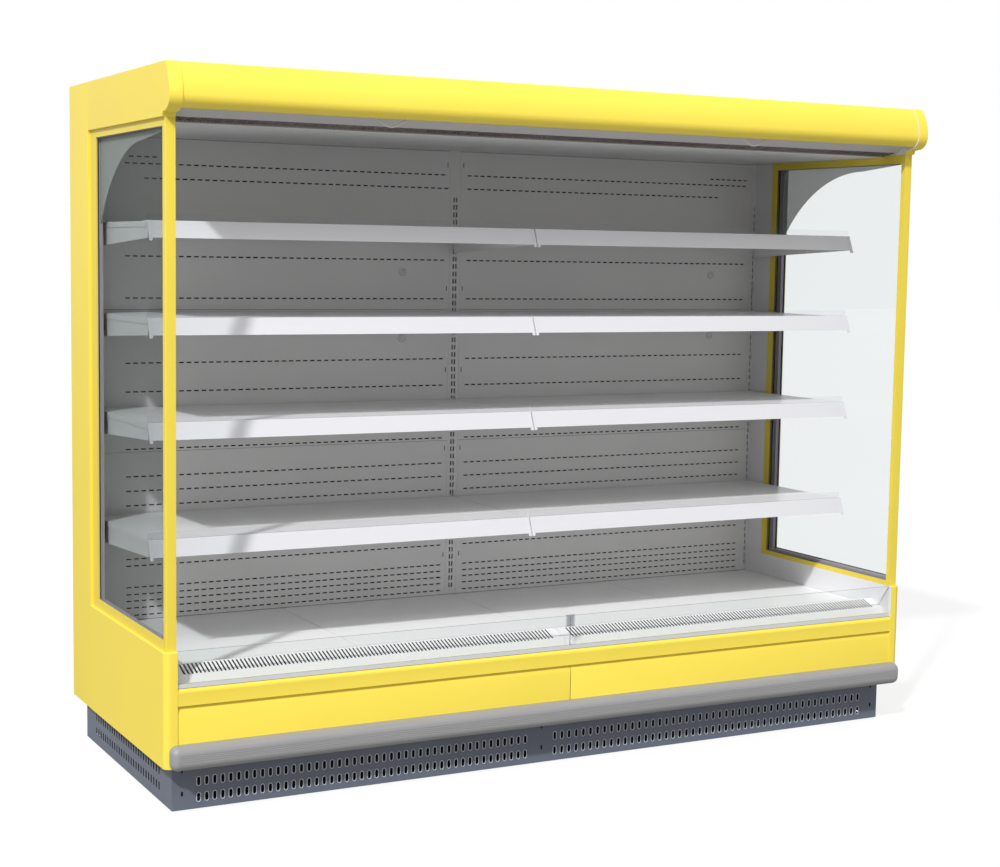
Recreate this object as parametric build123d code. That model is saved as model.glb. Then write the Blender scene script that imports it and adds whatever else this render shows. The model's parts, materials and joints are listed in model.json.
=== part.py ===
"""Open multideck display fridge: two bays, four rows of shelves, perforated plinth.

Sizes are in millimetres. Every piece is drawn in the cabinet's own frame:
X = 0 at the middle of the two bays, Y = 0 at the front of the end walls and
growing towards the rear wall, Z = 0 on the floor. Each piece is moved once,
when it is written, so that the finished part stands centred on its origin.
"""

import math
import os

from build123d import *

# ---------------------------------------------------------------- cabinet body
bay_width = 1250.0
end_thickness = 37.5
body_depth = 952.0
overall_height = 2060.0
canopy_overhang = 53.0
end_bottom = 139.0
ledge_height = 466.0
header_height = 145.0
rear_post_depth = 210.0
end_corner_radius = 20.0
ledge_chamfer = 2.0

inner_half = bay_width
outer_half = inner_half + end_thickness
post_front = body_depth - rear_post_depth
header_bottom = overall_height - header_height
origin_shift = canopy_overhang - (body_depth + canopy_overhang) / 2

# ------------------------------------------------------------ insulated shells
wall_insulation = 70.0
roof_insulation = 70.0
air_duct_depth = 44.0
tub_floor_bottom = 195.0
tub_floor_thickness = 40.0
tub_front = 20.0
tub_front_wall = 30.0
tub_return_slope = (45.0, 65.0)
tub_side_gap = 0.5
passage_clearance = 0.5

rear_wall_front = body_depth - wall_insulation
panel_plane = rear_wall_front - air_duct_depth
roof_bottom = overall_height - roof_insulation
tub_floor_top = tub_floor_bottom + tub_floor_thickness

# ----------------------------------------------------------------- side window
window_front = 12.0
window_recess = 8.0
frame_lip = 4.0
frame_band = 12.0
frame_corner_radius = 3.0
outer_opening = ((33.0, 684.0), (ledge_height + 28.0, header_bottom - 23.0))
inner_opening = ((30.0, 714.0), (ledge_height + 16.0, header_bottom - 30.0))
pane_thickness = 4.0
pane_clearance = 0.5
gasket_thickness = 1.0
gasket_lip = 3.0
spacer_outer = ((28.0, 704.0), (ledge_height + 18.0, header_bottom - 19.0))
mask_thickness = 3.0
mask_radius = 521.0
mask_arc_start = (252.0, header_bottom - 49.0)
mask_front_drop = 8.0

# ---------------------------------------------------------------------- canopy
nose_front = -canopy_overhang
nose_break = overall_height - 88.0
nose_top_reach = 33.0
cap_bottom = header_bottom + 15.0
cap_toe = (6.0, 3.0)
edge_break = 1.5
shell_inset = 3.0
shell_thickness = 2.0
shell_end_gap = 1.0
lip_height = header_bottom + 23.0
lip_setback = 29.0
lip_end = -8.0
canopy_back = 60.0
canopy_frame_thickness = 2.0
soffit_rear_height = header_bottom + 6.0
lamp_front = 12.0
lamp_rise = 1.0
lamp_thickness = 3.0
lamp_housing_height = 12.0
outlet_rear = 126.0
outlet_thickness = 18.0
outlet_cell = (22.0, 44.0)
outlet_pitch = 25.0
ceiling_height = header_bottom - 6.5
sheet = 1.5

# ---------------------------------------------------------------- night blinds
blind_plane = 0.0
blind_cloth_thickness = 0.5
roller_radius = 16.0
roll_radius = 20.6
roller_height = overall_height - 68.0
roller_pin_radius = 4.0
roller_end_gap = 1.0
bracket_middle_gap = 1.0
roller_pin_clearance = 0.05
blind_end_gap = 14.0
bracket_thickness = 3.0
bracket_reach = 4.0
bracket_height = 48.0
roll_cloth_gap = 0.3
tube_cloth_gap = 0.05
pull_bar_size = (12.0, 18.0)
pull_bar_bottom = lip_height + 3.0
handle_width = 108.0
handle_drop = 30.0
handle_wire = 2.0
handle_bend = 32.0
bar_end_gap = 4.0
bar_edge = 2.5

# --------------------------------------------------------------------- shelving
shelf_heights = (1645.0, 1370.0, 1071.0, 733.5)
upright_width = 40.0
upright_sheet = 2.0
upright_bottom = 389.0
end_slot_offset = 7.0
middle_slot_offset = 4.8
slot_width = 5.0
slot_height = 16.0
slot_pitch = 25.0
slot_top = shelf_heights[0] + 100.0
shelf_end_gap = 4.0
shelf_joint_gap = 4.0
shelf_front = 288.0
shelf_rear_gap = 9.0
shelf_sheet = 1.2
shelf_flange = 30.0
bracket_sheet = 2.5
bracket_rear_gap = 2.0
bracket_rear_height = 74.0
bracket_front_height = 46.0
bracket_foot = 56.0
bracket_knee = (160.0, 66.0)
bracket_side_gap = 0.25
hook_radius = 4.0
hook_reach = 8.0
hook_tip = 4.0
hook_clearance = 0.7
hook_allowance = 2.0
rail_top_front = 284.0
rail_bottom_front = 263.0
rail_height = 49.0
rail_thickness = 2.5
rail_flange = 37.0
rail_cap = (9.0, 3.5)
rail_cap_proud = 1.5
rail_cap_drop = 8.0
side_fold_height = 16.0
stop_height = 20.0
stop_thickness = 2.0
stop_setback = 2.0
stop_end_gap = 1.0

# -------------------------------------------------------------- rear air panels
panel_tiers = ((upright_bottom, 924.5), (925.5, 1373.5), (1374.5, ceiling_height - 1.0))
panel_sheet = 1.2
panel_side_gap = 0.5
plug_radius = 15.0
plug_height = 3.0
plug_edge = 1.5
plug_inset = 174.0
plug_heights = (1500.0, 1278.0, 1054.0)

# ------------------------------------------------------------------------ deck
deck_height = 388.0
tray_count = 4
tray_side_gap = 3.0
tray_front = 212.0
tray_depth_of_edge = 22.0
tray_rear_gap = 1.5
grille_front = 36.0
grille_foot_rise = (10.0, 25.0)
grille_crest = (106.0, 409.0)
grille_back_bend = 132.0
grille_rear = 210.0
grille_slot = (6.0, 52.0)
grille_slot_pitch = 12.0
grille_slot_start = 52.0
grille_end_margin = 27.0
grille_side_gap = 0.6
bearer_width = 24.0
bearer_height = 20.0
bearer_sheet = 3.0
bearer_overhang = 6.0
bearer_rear_gap = 2.0
bearer_leg_inset = 4.0

# ----------------------------------------------------------------------- front
fascia_top = 363.0
fascia_bottom = 313.5
fascia_edge = (9.0, 16.0)
fascia_front = 1.0
fascia_rear = 34.0
kick_top = 310.5
kick_bottom = 139.0
kick_front = 2.0
kick_bevel = (8.0, 21.0)
kick_end_bevel = (1.1, 4.0)
kick_joint_gap = 2.0
riser_front = 8.0
riser_thickness = 6.0
riser_joint_gap = 2.0
riser_end_gap = 4.0
riser_rail_height = 11.0
riser_rail_wall = 3.0
riser_slot_clearance = 0.2
riser_rail_end_gap = 1.0
clip_width = 27.0
clip_height = 34.0
clip_wall = 2.0
clip_blade_gap = 0.1
bumper_bottom = 136.0
bumper_top = 206.0
bumper_reach = 35.0
bumper_wall = 3.0
bumper_round = 24.0
bumper_rib_depth = 0.6
bumper_rib_width = 2.0
bumper_rib_count = 4
bumper_end_round = 20.0
bumper_end_step = 13.0

# -------------------------------------------------------------------- plinth
plinth_half = inner_half
plinth_front_y = 57.0
plinth_rear_y = 931.0
plinth_bottom = 3.0
plinth_top = 137.0
plinth_sheet = 1.5
plinth_fold = 20.0
vent_slot = (25.0, 10.0)
front_vent_rows = (80.5, 34.5)
front_vent_starts = (78.5 - plinth_half, -21.0)
front_vent_pitches = (23.77, 25.85)
front_vent_counts = (45, 47)
side_vent_rows = (92.0, 46.0)
side_vent_start = 172.0
side_vent_pitch = 24.85
side_vent_count = 27
fixing_slot = (14.0, 6.0)
fixing_places = (30.0 - plinth_half, -68.0, plinth_half - 28.0)
fixing_rows = (115.0, 49.0)

# ------------------------------------------------------------------ base frame
foot_height = 20.0
foot_radius = 25.0
foot_pad = 8.0
foot_edge = 2.0
foot_nut_radius = 9.5
foot_stem_radius = 5.0
foot_stem_top = 50.0
foot_clearance = 0.5
channel_height = 60.0
channel_width = 30.0
channel_sheet = 3.0
channel_front = 110.0
channel_rear = 920.0
frame_half = plinth_half - 20.0
cross_places = (15.0 - frame_half, -420.0, frame_half - 15.0)
post_places = (15.0 - frame_half, -405.0, 405.0, frame_half - 15.0)
post_size = 28.0
foot_places = (80.0 - frame_half, 0.0, frame_half - 80.0)
unit_tray_sheet = 2.0
unit_tray_gap = 1.0
unit_tray_hole = 12.5
fixing_tab_width = 24.0
fixing_tab_drop = 12.0

frame_bottom = foot_height
frame_top = frame_bottom + channel_height
unit_floor = frame_bottom + channel_sheet + unit_tray_sheet

# --------------------------------------------------------------- refrigeration
fan_plate_y = 300.0
fan_height = 292.0
fan_places = (-830.0, 0.0, 830.0)
fan_blade_radius = 45.0
fan_hub_radius = 17.0
fan_hub_length = 20.0
fan_blade_count = 5
fan_motor_radius = 22.0
fan_motor_length = 36.0
fan_motor_gap = 2.0
fan_ring = 5.0
fan_arm = (7.0, 4.0)
fan_arm_count = 3
fan_hub_edge = 3.0
fan_blade_sheet = 2.0
fan_blade_pitch = 38.0
fan_blade_chord = 0.45
fan_plate_fold = 20.0
fan_shaft_radius = 3.0
fan_shaft_length = 20.0
shaft_clearance = 0.05
evaporator_half = inner_half - 62.0
evaporator_y = (420.0, 640.0)
evaporator_z = (247.0, 336.0)
evaporator_plate = 2.0
coil_plate_edge = 4.0
tube_radius = 6.0
bend_radius = 15.0
bend_inset = 22.0
bend_pitch = 52.0
bend_columns = 3
compressor_centre = (frame_half - 250.0, 560.0)
compressor_radius = 60.0
compressor_length = 320.0
compressor_foot = 12.0
compressor_round = 24.0
compressor_saddle = (24.0, 104.0)
terminal_cover = (90.0, 38.0)
terminal_reach = 20.0
port_radius = 8.0
port_rise = 4.0
condenser_x = (330.0, 770.0)
condenser_y = (190.0, 256.0)
condenser_height = 148.0
condenser_fan_radius = 58.0
fan_tip_gap = 3.0
receiver_centre = (560.0, 760.0)
receiver_radius = 34.0
receiver_length = 220.0
receiver_foot = 10.0
receiver_round = 14.0
receiver_saddle = (16.0, 56.0)
pipe_radius = 5.0
pipe_bend = 12.0
pipe_clearance = 3.0
liquid_reach = 30.0
pipe_rise = 24.0
pipe_drop = 24.0
control_box_x = (-380.0, -120.0)
control_box_y = (180.0, 340.0)
control_box_height = 125.0
control_box_edge = 6.0
control_lid = 3.0
control_lid_inset = 8.0
gland_radius = 11.0
gland_place = (50.0, 75.0)
gland_length = 14.0
gland_floor = 2.0
gland_bore = 5.0
gland_nut_wall = 4.0
drain_radius = 20.0
drain_wall = 2.0
drain_flange = (12.0, 3.0)
drain_drop_gap = 20.0
drain_place = (0.0, 760.0)
drip_tray_half = (100.0, 70.0)
drip_tray_height = 50.0


# How far a cutting shape runs past the face it cuts, and how near counts as on a face.
past = 1.0
near = 0.01


# ---------------------------------------------------------------- plain helpers
def block(x, y, z):
    """A box between three (low, high) pairs."""
    size = [high - low for low, high in (x, y, z)]
    middle = [(low + high) / 2 for low, high in (x, y, z)]
    return Pos(*middle) * Box(*size)


def across(x_range, outline):
    """A YZ outline, of points or of edges, drawn out along X."""
    low, high = x_range
    if not isinstance(outline[0], Edge):
        outline = Polyline(*outline, close=True).edges()
    face = Plane.YZ.offset(low) * make_face(outline)
    return extrude(face, amount=high - low, dir=(1, 0, 0))


def rod(centre, radius, length, axis):
    """A round bar that starts at centre and runs along a unit axis."""
    plane = Plane(origin=centre, z_dir=axis)
    return extrude(plane * Circle(radius), amount=length)


def other_side(piece):
    """The same piece at the other end of the cabinet."""
    return mirror(piece, about=Plane.YZ)


def both_sides(piece):
    return [other_side(piece), piece]


def cut_slots(panel_sketch, centres, length, width):
    """Cuts upright round-ended slots out of a flat sketch."""
    upright_slot = Rot(0, 0, 90) * SlotOverall(length, width)
    return panel_sketch - [Pos(x, y) * upright_slot for x, y in centres]


# -------------------------------------------------------------------- the base
def channel(x_range, y_range, open_to_rear):
    """A C channel that lies along X, open to the rear or to the front."""
    outer = block(x_range, y_range, (frame_bottom, frame_top))
    low, high = y_range
    hollow_y = (low + channel_sheet, high + past) if open_to_rear else (low - past, high - channel_sheet)
    inside = (frame_bottom + channel_sheet, frame_top - channel_sheet)
    return outer - block((x_range[0] - past, x_range[1] + past), hollow_y, inside)


def cross_member(x):
    """A C channel from front to rear, open to the right."""
    half = channel_width / 2
    between = (channel_front + channel_width, channel_rear - channel_width)
    inside = (frame_bottom + channel_sheet, frame_top - channel_sheet)
    member = block((x - half, x + half), between, (frame_bottom, frame_top))
    return member - block((x - half + channel_sheet, x + half + past), between, inside)


def frame_post(x, y):
    """A square tube: the front ones carry the tub, the rear ones the rear wall."""
    top = tub_floor_bottom if y < body_depth / 2 else end_bottom
    half = post_size / 2
    hollow = half - channel_sheet
    post = block((x - half, x + half), (y - half, y + half), (frame_top, top))
    return post - block((x - hollow, x + hollow), (y - hollow, y + hollow), (frame_top, top))


def plinth_tabs():
    """Small plates that hold the plinth panels to the frame."""
    tab_top = frame_top - fixing_tab_drop
    half = fixing_tab_width / 2
    front_y = (plinth_front_y + plinth_sheet, channel_front)
    tabs = [block((x - half, x + half), front_y, (tab_top - channel_sheet, tab_top)) for x in fixing_places]
    for side in (-1, 1):
        x = sorted((side * frame_half, side * (plinth_half - plinth_sheet)))
        for y in (channel_front, channel_rear - channel_width):
            tabs.append(block(x, (y, y + channel_width), (frame_bottom, frame_bottom + channel_sheet)))
            tabs.append(block(x, (y, y + channel_width), (frame_top - channel_sheet, frame_top)))
    return tabs


def base_frame():
    """The welded frame and the tray that carries the condensing unit."""
    span = (-frame_half, frame_half)
    frame = channel(span, (channel_front, channel_front + channel_width), True)
    frame += channel(span, (channel_rear - channel_width, channel_rear), False)
    frame += [cross_member(x) for x in cross_places]
    frame += [frame_post(x, y) for x in post_places for y in foot_rows()]
    frame += plinth_tabs()
    hole = foot_stem_radius + foot_clearance
    depth = frame_bottom + channel_sheet + past
    frame -= [rod((x, y, 0), hole, depth, (0, 0, 1)) for x in foot_places for y in foot_rows()]
    gap = channel_sheet + unit_tray_gap
    half = channel_width / 2 + unit_tray_gap
    unit_tray = block(
        (cross_places[1] + half, cross_places[2] - half),
        (channel_front + gap, channel_rear - gap),
        (frame_bottom + channel_sheet, unit_floor),
    )
    height = unit_floor + past
    for x in foot_places:
        unit_tray -= [rod((x, y, 0), unit_tray_hole, height, (0, 0, 1)) for y in foot_rows()]
    return [frame, unit_tray]


def foot_rows():
    return (channel_front + channel_width / 2, channel_rear - channel_width / 2)


def levelling_foot(x, y):
    pad = rod((x, y, 0), foot_radius, foot_pad, (0, 0, 1))
    pad = fillet(pad.edges().sort_by(Axis.Z)[-1], foot_edge)
    stem = rod((x, y, foot_pad), foot_stem_radius, foot_stem_top - foot_pad, (0, 0, 1))
    nut_plane = Plane(origin=(x, y, foot_pad))
    nut = extrude(nut_plane * RegularPolygon(foot_nut_radius, 6), amount=foot_height - foot_pad)
    return pad + stem + nut


def levelling_feet():
    return [levelling_foot(x, y) for x in foot_places for y in foot_rows()]


def fixing_centres():
    return [(x, z) for x in fixing_places for z in fixing_rows]


def plinth_front():
    """The front plinth: a flat sheet with two rows of slots and a return along its top."""
    height = plinth_top - plinth_bottom
    middle = (plinth_top + plinth_bottom) / 2
    vents = []
    for start, pitch, count in zip(front_vent_starts, front_vent_pitches, front_vent_counts):
        vents += [(start + pitch * i, z) for i in range(count) for z in front_vent_rows]
    sketch = Pos(0, middle) * Rectangle(2 * plinth_half, height)
    sketch = cut_slots(sketch, vents, *vent_slot)
    sketch = cut_slots(sketch, fixing_centres(), *fixing_slot)
    plane = Plane(origin=(0, plinth_front_y, 0), x_dir=(1, 0, 0), z_dir=(0, -1, 0))
    panel = extrude(plane * sketch, amount=-plinth_sheet)
    fold = block(
        (-plinth_half + plinth_fold, plinth_half - plinth_fold),
        (plinth_front_y, plinth_front_y + plinth_fold),
        (plinth_top - plinth_sheet, plinth_top),
    )
    return panel + fold


def plinth_sides():
    places = [side_vent_start + side_vent_pitch * i for i in range(side_vent_count)]
    vents = [(y, z) for y in places for z in side_vent_rows]
    y_low = plinth_front_y + plinth_sheet
    middle = ((y_low + plinth_rear_y) / 2, (plinth_bottom + plinth_top) / 2)
    sketch = Pos(*middle) * Rectangle(plinth_rear_y - y_low, plinth_top - plinth_bottom)
    sketch = cut_slots(sketch, vents, *vent_slot)
    plane = Plane(origin=(plinth_half, 0, 0), x_dir=(0, 1, 0), z_dir=(1, 0, 0))
    return both_sides(extrude(plane * sketch, amount=-plinth_sheet))


# --------------------------------------------------------- the insulated shells
def insulated_tub():
    top = fascia_top - sheet
    inner = tub_front + tub_front_wall
    outline = [
        (tub_front, tub_floor_bottom),
        (rear_wall_front, tub_floor_bottom),
        (rear_wall_front, tub_floor_top),
        (inner + tub_return_slope[0], tub_floor_top),
        (inner, tub_floor_top + tub_return_slope[1]),
        (inner, top),
        (tub_front, top),
    ]
    half = inner_half - tub_side_gap
    tub = across((-half, half), outline)
    passages = [(drain_place, drain_radius), (suction_place(), pipe_radius), (liquid_place(), pipe_radius)]
    for (x, y), radius in passages:
        start = (x, y, tub_floor_bottom - past)
        tub -= rod(start, radius + passage_clearance, tub_floor_thickness + 2 * past, (0, 0, 1))
    return [tub]


def insulated_back_wall():
    return [block((-inner_half, inner_half), (rear_wall_front, body_depth), (end_bottom, roof_bottom))]


def insulated_roof():
    return [block((-inner_half, inner_half), (canopy_back, body_depth), (roof_bottom, overall_height))]


# ------------------------------------------------------------------- end walls
def nose_curve(inset, top, chin):
    """The two arcs of the canopy nose, which meet upright at its foremost line."""
    brow = (nose_front + inset, nose_break)
    return [
        TangentArc(brow, top, tangent=(0, 1)),
        TangentArc(brow, chin, tangent=(0, -1)),
    ]


def run_of_lines(points):
    return [Line(a, b) for a, b in zip(points, points[1:])]


def header():
    """The top of an end wall, whose front end is the canopy's rounded cap."""
    top = (nose_front + nose_top_reach, overall_height)
    chin = (nose_front + nose_top_reach, cap_bottom)
    outline = run_of_lines([
        chin,
        (window_front - cap_toe[0], cap_bottom - cap_toe[1]),
        (window_front, header_bottom),
        (post_front, header_bottom),
        (post_front, overall_height),
        top,
    ])
    piece = across((inner_half, outer_half), outline + nose_curve(0.0, top, chin))
    return soften(piece, outer_half, edge_break)


def soften(piece, x, size):
    """Rounds the edges that lie in the plane of a given X."""
    edges = piece.edges().filter_by_position(Axis.X, x - near, x + near)
    return fillet(edges, size)


def lower_end_panel():
    """The panel under the window, rounded at its outer front edge, with a broken ledge."""
    panel = block((inner_half, outer_half), (0, post_front), (end_bottom, ledge_height))
    outer = panel.edges().filter_by_position(Axis.X, outer_half - near, outer_half + near)
    panel = fillet(outer.filter_by(Axis.Z).sort_by(Axis.Y)[0], end_corner_radius)
    ledge = panel.edges().filter_by_position(Axis.Z, ledge_height - near, ledge_height + near)
    outside = [edge for edge in ledge if edge.center().X > inner_half + past]
    return chamfer([edge for edge in outside if edge.center().Y < post_front - past], ledge_chamfer)


def rear_post():
    post = block((inner_half, outer_half), (post_front, body_depth), (end_bottom, overall_height))
    return soften(post, outer_half, edge_break)


def end_panel():
    return [lower_end_panel(), header(), rear_post()]


def window_frame():
    """Outer frame with its front post, and the inner frame that clamps the glass."""
    outer_face = outer_half - window_recess
    y = (window_front, post_front)
    z = (ledge_height, header_bottom)
    inner_lip = (inner_half, inner_half + frame_lip)
    outer = block((inner_lip[1], outer_face), y, z)
    pocket_y = (y[0] + frame_band, y[1] - frame_band)
    pocket_z = (z[0] + frame_band, z[1] - frame_band)
    outer -= block((inner_lip[1] - past, outer_face - frame_lip), pocket_y, pocket_z)
    outer -= block((inner_half, outer_half), *outer_opening)
    corner = outer.edges().filter_by(Axis.Z).sort_by(Axis.Y)[:2].sort_by(Axis.X)[-1]
    outer = fillet(corner, frame_corner_radius)
    inner = ring(inner_lip, (y, z), inner_opening)
    return [outer, inner]


def glazing_faces():
    """X of the panes' outer faces, inside then outside."""
    inside = inner_half + frame_lip + gasket_thickness
    outside = outer_half - window_recess - frame_lip - gasket_thickness
    return inside, outside


def pane_span():
    low = frame_band + pane_clearance
    y = (window_front + low, post_front - low)
    z = (ledge_height + low, header_bottom - low)
    return y, z


def window_glass():
    inside, outside = glazing_faces()
    y, z = pane_span()
    return [
        block((inside, inside + pane_thickness), y, z),
        block((outside - pane_thickness, outside), y, z),
    ]


def ring(x_range, outer, inner):
    hole_x = (x_range[0] - past, x_range[1] + past)
    return block(x_range, *outer) - block(hole_x, *inner)


def glazing_spacer():
    inside, outside = glazing_faces()
    return ring((inside + pane_thickness, outside - pane_thickness), spacer_outer, outer_opening)


def glazing_gaskets():
    inside, outside = glazing_faces()
    rings = []
    for x, opening in ((inside - gasket_thickness, inner_opening), (outside, outer_opening)):
        (y0, y1), (z0, z1) = opening
        hole = ((y0 + gasket_lip, y1 - gasket_lip), (z0 + gasket_lip, z1 - gasket_lip))
        rings.append(ring((x, x + gasket_thickness), pane_span(), hole))
    return rings


def corner_mask():
    """The opaque plate between the panes, cut off by a long curve under the header."""
    inside, outside = glazing_faces()
    middle = (inside + outside) / 2
    (front, rear), (_, top) = outer_opening
    centre = (mask_arc_start[0], mask_arc_start[1] - mask_radius)
    turn = math.asin((rear - centre[0]) / mask_radius)
    through, end = [
        (centre[0] + mask_radius * math.sin(angle), centre[1] + mask_radius * math.cos(angle))
        for angle in (turn / 2, turn)
    ]
    outline = run_of_lines([end, (rear, top), (front, top), (front, top - mask_front_drop), mask_arc_start])
    half = mask_thickness / 2
    return across((middle - half, middle + half), [*outline, ThreePointArc(mask_arc_start, through, end)])


# ---------------------------------------------------------------------- canopy
def canopy_shell():
    """The curved front shell: a thin skin, open below and to the rear."""
    half = inner_half - shell_end_gap
    lip_front = nose_front + lip_setback
    outer_top = (nose_front + nose_top_reach + shell_inset, overall_height)
    outer_chin = (lip_front, lip_height)
    inset = shell_inset + shell_thickness
    inner_top = (outer_top[0] + shell_thickness, overall_height - shell_thickness)
    inner_chin = (lip_front + shell_thickness / 2, lip_height + shell_thickness)
    upper = run_of_lines([inner_top, (canopy_back, inner_top[1]), (canopy_back, overall_height), outer_top])
    lower = run_of_lines([inner_chin, (lip_end, inner_chin[1]), (lip_end, lip_height), outer_chin])
    curves = nose_curve(shell_inset, outer_top, outer_chin) + nose_curve(inset, inner_top, inner_chin)
    return [across((-half, half), upper + lower + curves)]


def roller_centre_y():
    return blind_plane + roll_radius + roll_cloth_gap


def canopy_frame():
    """The upright sheet behind the canopy, with the blind brackets at its ends and middle."""
    y = (canopy_back - canopy_frame_thickness, canopy_back)
    half = inner_half - shell_end_gap
    frame = block((-half, half), y, (soffit_rear_height, overall_height - shell_thickness))
    reach = (blind_plane - bracket_reach, y[0])
    height = (roller_height - bracket_height / 2, roller_height + bracket_height / 2)
    end = (half - bracket_thickness, half)
    middle = (-bracket_thickness, bracket_thickness)
    for x in ((-end[1], -end[0]), middle, end):
        frame += block(x, reach, height)
    hole = roller_pin_radius + roller_pin_clearance
    frame -= rod((-inner_half, roller_centre_y(), roller_height), hole, 2 * inner_half, (1, 0, 0))
    return [frame]


def canopy_lamp():
    """The light strip under the canopy: a sloping diffuser and the housing above it."""
    half = inner_half - shell_end_gap
    rear = canopy_back - canopy_frame_thickness
    front = lip_height + lamp_rise
    over_front = (lamp_front, front + lamp_thickness)
    over_rear = (rear, soffit_rear_height + lamp_thickness)
    top = over_front[1] + lamp_housing_height
    under = [(lamp_front, front), (rear, soffit_rear_height)]
    diffuser = across((-half, half), [*under, over_rear, over_front])
    housing = across((-half, half), [over_front, over_rear, (rear, top), (lamp_front, top)])
    return [diffuser, housing]


def air_outlet():
    """The honeycomb slab, tilted down to the rear, as a row of rectangular cells."""
    half = inner_half - shell_end_gap
    drop = soffit_rear_height - ceiling_height - sheet
    outline = [
        (canopy_back, soffit_rear_height),
        (outlet_rear, soffit_rear_height - drop),
        (outlet_rear, soffit_rear_height - drop + outlet_thickness),
        (canopy_back, soffit_rear_height + outlet_thickness),
    ]
    slab = across((-half, half), outline)
    count = int((2 * half - outlet_pitch) // outlet_pitch)
    middle = (canopy_back + outlet_rear) / 2
    cell = Box(*outlet_cell, overall_height - ceiling_height)
    start = -(count - 1) * outlet_pitch / 2
    cells = [Pos(start + i * outlet_pitch, middle, soffit_rear_height) * cell for i in range(count)]
    return [slab - cells]


def ceiling_panel():
    """The sheet under the top air duct, with its front edge turned up to the outlet."""
    half = inner_half - shell_end_gap
    rear = panel_plane + upright_sheet
    panel = block((-half, half), (outlet_rear, rear), (ceiling_height, ceiling_height + sheet))
    lip_top = ceiling_height + sheet + outlet_thickness
    turn_up = block((-half, half), (outlet_rear, outlet_rear + sheet), (ceiling_height, lip_top))
    return [panel + turn_up]


# ---------------------------------------------------------------- night blinds
def blind_span(side):
    """X range of one blind: side -1 is the left bay, +1 the right bay."""
    low = bracket_thickness + roller_end_gap
    high = inner_half - shell_end_gap - bracket_thickness - roller_end_gap
    return tuple(sorted((side * low, side * high)))


def blind_roller(side):
    """The tube with its two end pins, and the cloth wound on it."""
    x0, x1 = blind_span(side)
    y = roller_centre_y()
    tube = rod((x0, y, roller_height), roller_radius, x1 - x0, (1, 0, 0))
    reach = roller_end_gap + bracket_thickness - bracket_middle_gap / 2
    pin = rod((x0 - reach, y, roller_height), roller_pin_radius, x1 - x0 + 2 * reach, (1, 0, 0))
    inset = blind_end_gap / 2
    cloth = rod((x0 + inset, y, roller_height), roll_radius, x1 - x0 - 2 * inset, (1, 0, 0))
    cloth -= rod((x0, y, roller_height), roller_radius + tube_cloth_gap, x1 - x0, (1, 0, 0))
    return [tube + pin, cloth]


def blind_cloth(side):
    """The short hanging length between the roll and the pull bar."""
    x0, x1 = blind_span(side)
    inset = blind_end_gap / 2
    y = (blind_plane - blind_cloth_thickness, blind_plane)
    bottom = pull_bar_bottom + pull_bar_size[1]
    return [block((x0 + inset, x1 - inset), y, (bottom, roller_height))]


def blind_bar(side):
    """The pull bar and its bent wire handle."""
    x0, x1 = blind_span(side)
    depth, height = pull_bar_size
    y = (blind_plane - depth / 2, blind_plane + depth / 2)
    bar = block((x0 + bar_end_gap, x1 - bar_end_gap), y, (pull_bar_bottom, pull_bar_bottom + height))
    bar = fillet(bar.edges().filter_by(Axis.X), bar_edge)
    middle = (x0 + x1) / 2
    half = handle_width / 2
    root = pull_bar_bottom + handle_wire
    path = FilletPolyline(
        (middle - half, blind_plane, root),
        (middle, blind_plane, pull_bar_bottom - handle_drop),
        (middle + half, blind_plane, root),
        radius=handle_bend,
    )
    start = Plane(origin=path @ 0, z_dir=path % 0)
    wire = sweep(start * Circle(handle_wire), path=path)
    return [bar, wire - bar]


# -------------------------------------------------------------------- shelving
def slot_heights():
    count = int((slot_top - upright_bottom - slot_height) // slot_pitch) + 1
    return [slot_top - slot_pitch * i for i in range(count)]


def upright(x_range, columns):
    """A C-section post, its slotted face flush with the rear panels."""
    y = (panel_plane, rear_wall_front)
    z = (upright_bottom, ceiling_height)
    post = block(x_range, y, z)
    inside_x = (x_range[0] + upright_sheet, x_range[1] - upright_sheet)
    post -= block(inside_x, (y[0] + upright_sheet, y[1] + past), (z[0] - past, z[1] + past))
    slot = Box(slot_width, upright_sheet + 2 * past, slot_height)
    middle = y[0] + upright_sheet / 2
    post -= [Pos(x, middle, height) * slot for x in columns for height in slot_heights()]
    return post


def shelf_uprights():
    end = inner_half - end_slot_offset
    half = upright_width / 2
    right = upright((inner_half - half, inner_half), [end])
    return [other_side(right), upright((-half, half), [-middle_slot_offset, middle_slot_offset]), right]


def rear_panels(side):
    """Three flat panels of one bay, and their round plugs."""
    low = upright_width / 2 + panel_side_gap
    high = inner_half - upright_width / 2 - panel_side_gap
    x = tuple(sorted((side * low, side * high)))
    y = (panel_plane, panel_plane + panel_sheet)
    panels = [block(x, y, z) for z in panel_tiers]
    column = x[1] - plug_inset
    plugs = []
    for z in plug_heights:
        plug = rod((column, panel_plane - plug_height, z), plug_radius, plug_height, (0, 1, 0))
        plugs.append(fillet(plug.edges().sort_by(Axis.Y)[0], plug_edge))
    return panels + plugs


def hook_slot(height):
    """The height of the slot that a shelf's upper hooks stand in."""
    return min(slot for slot in slot_heights() if slot >= height - hook_allowance)


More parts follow.
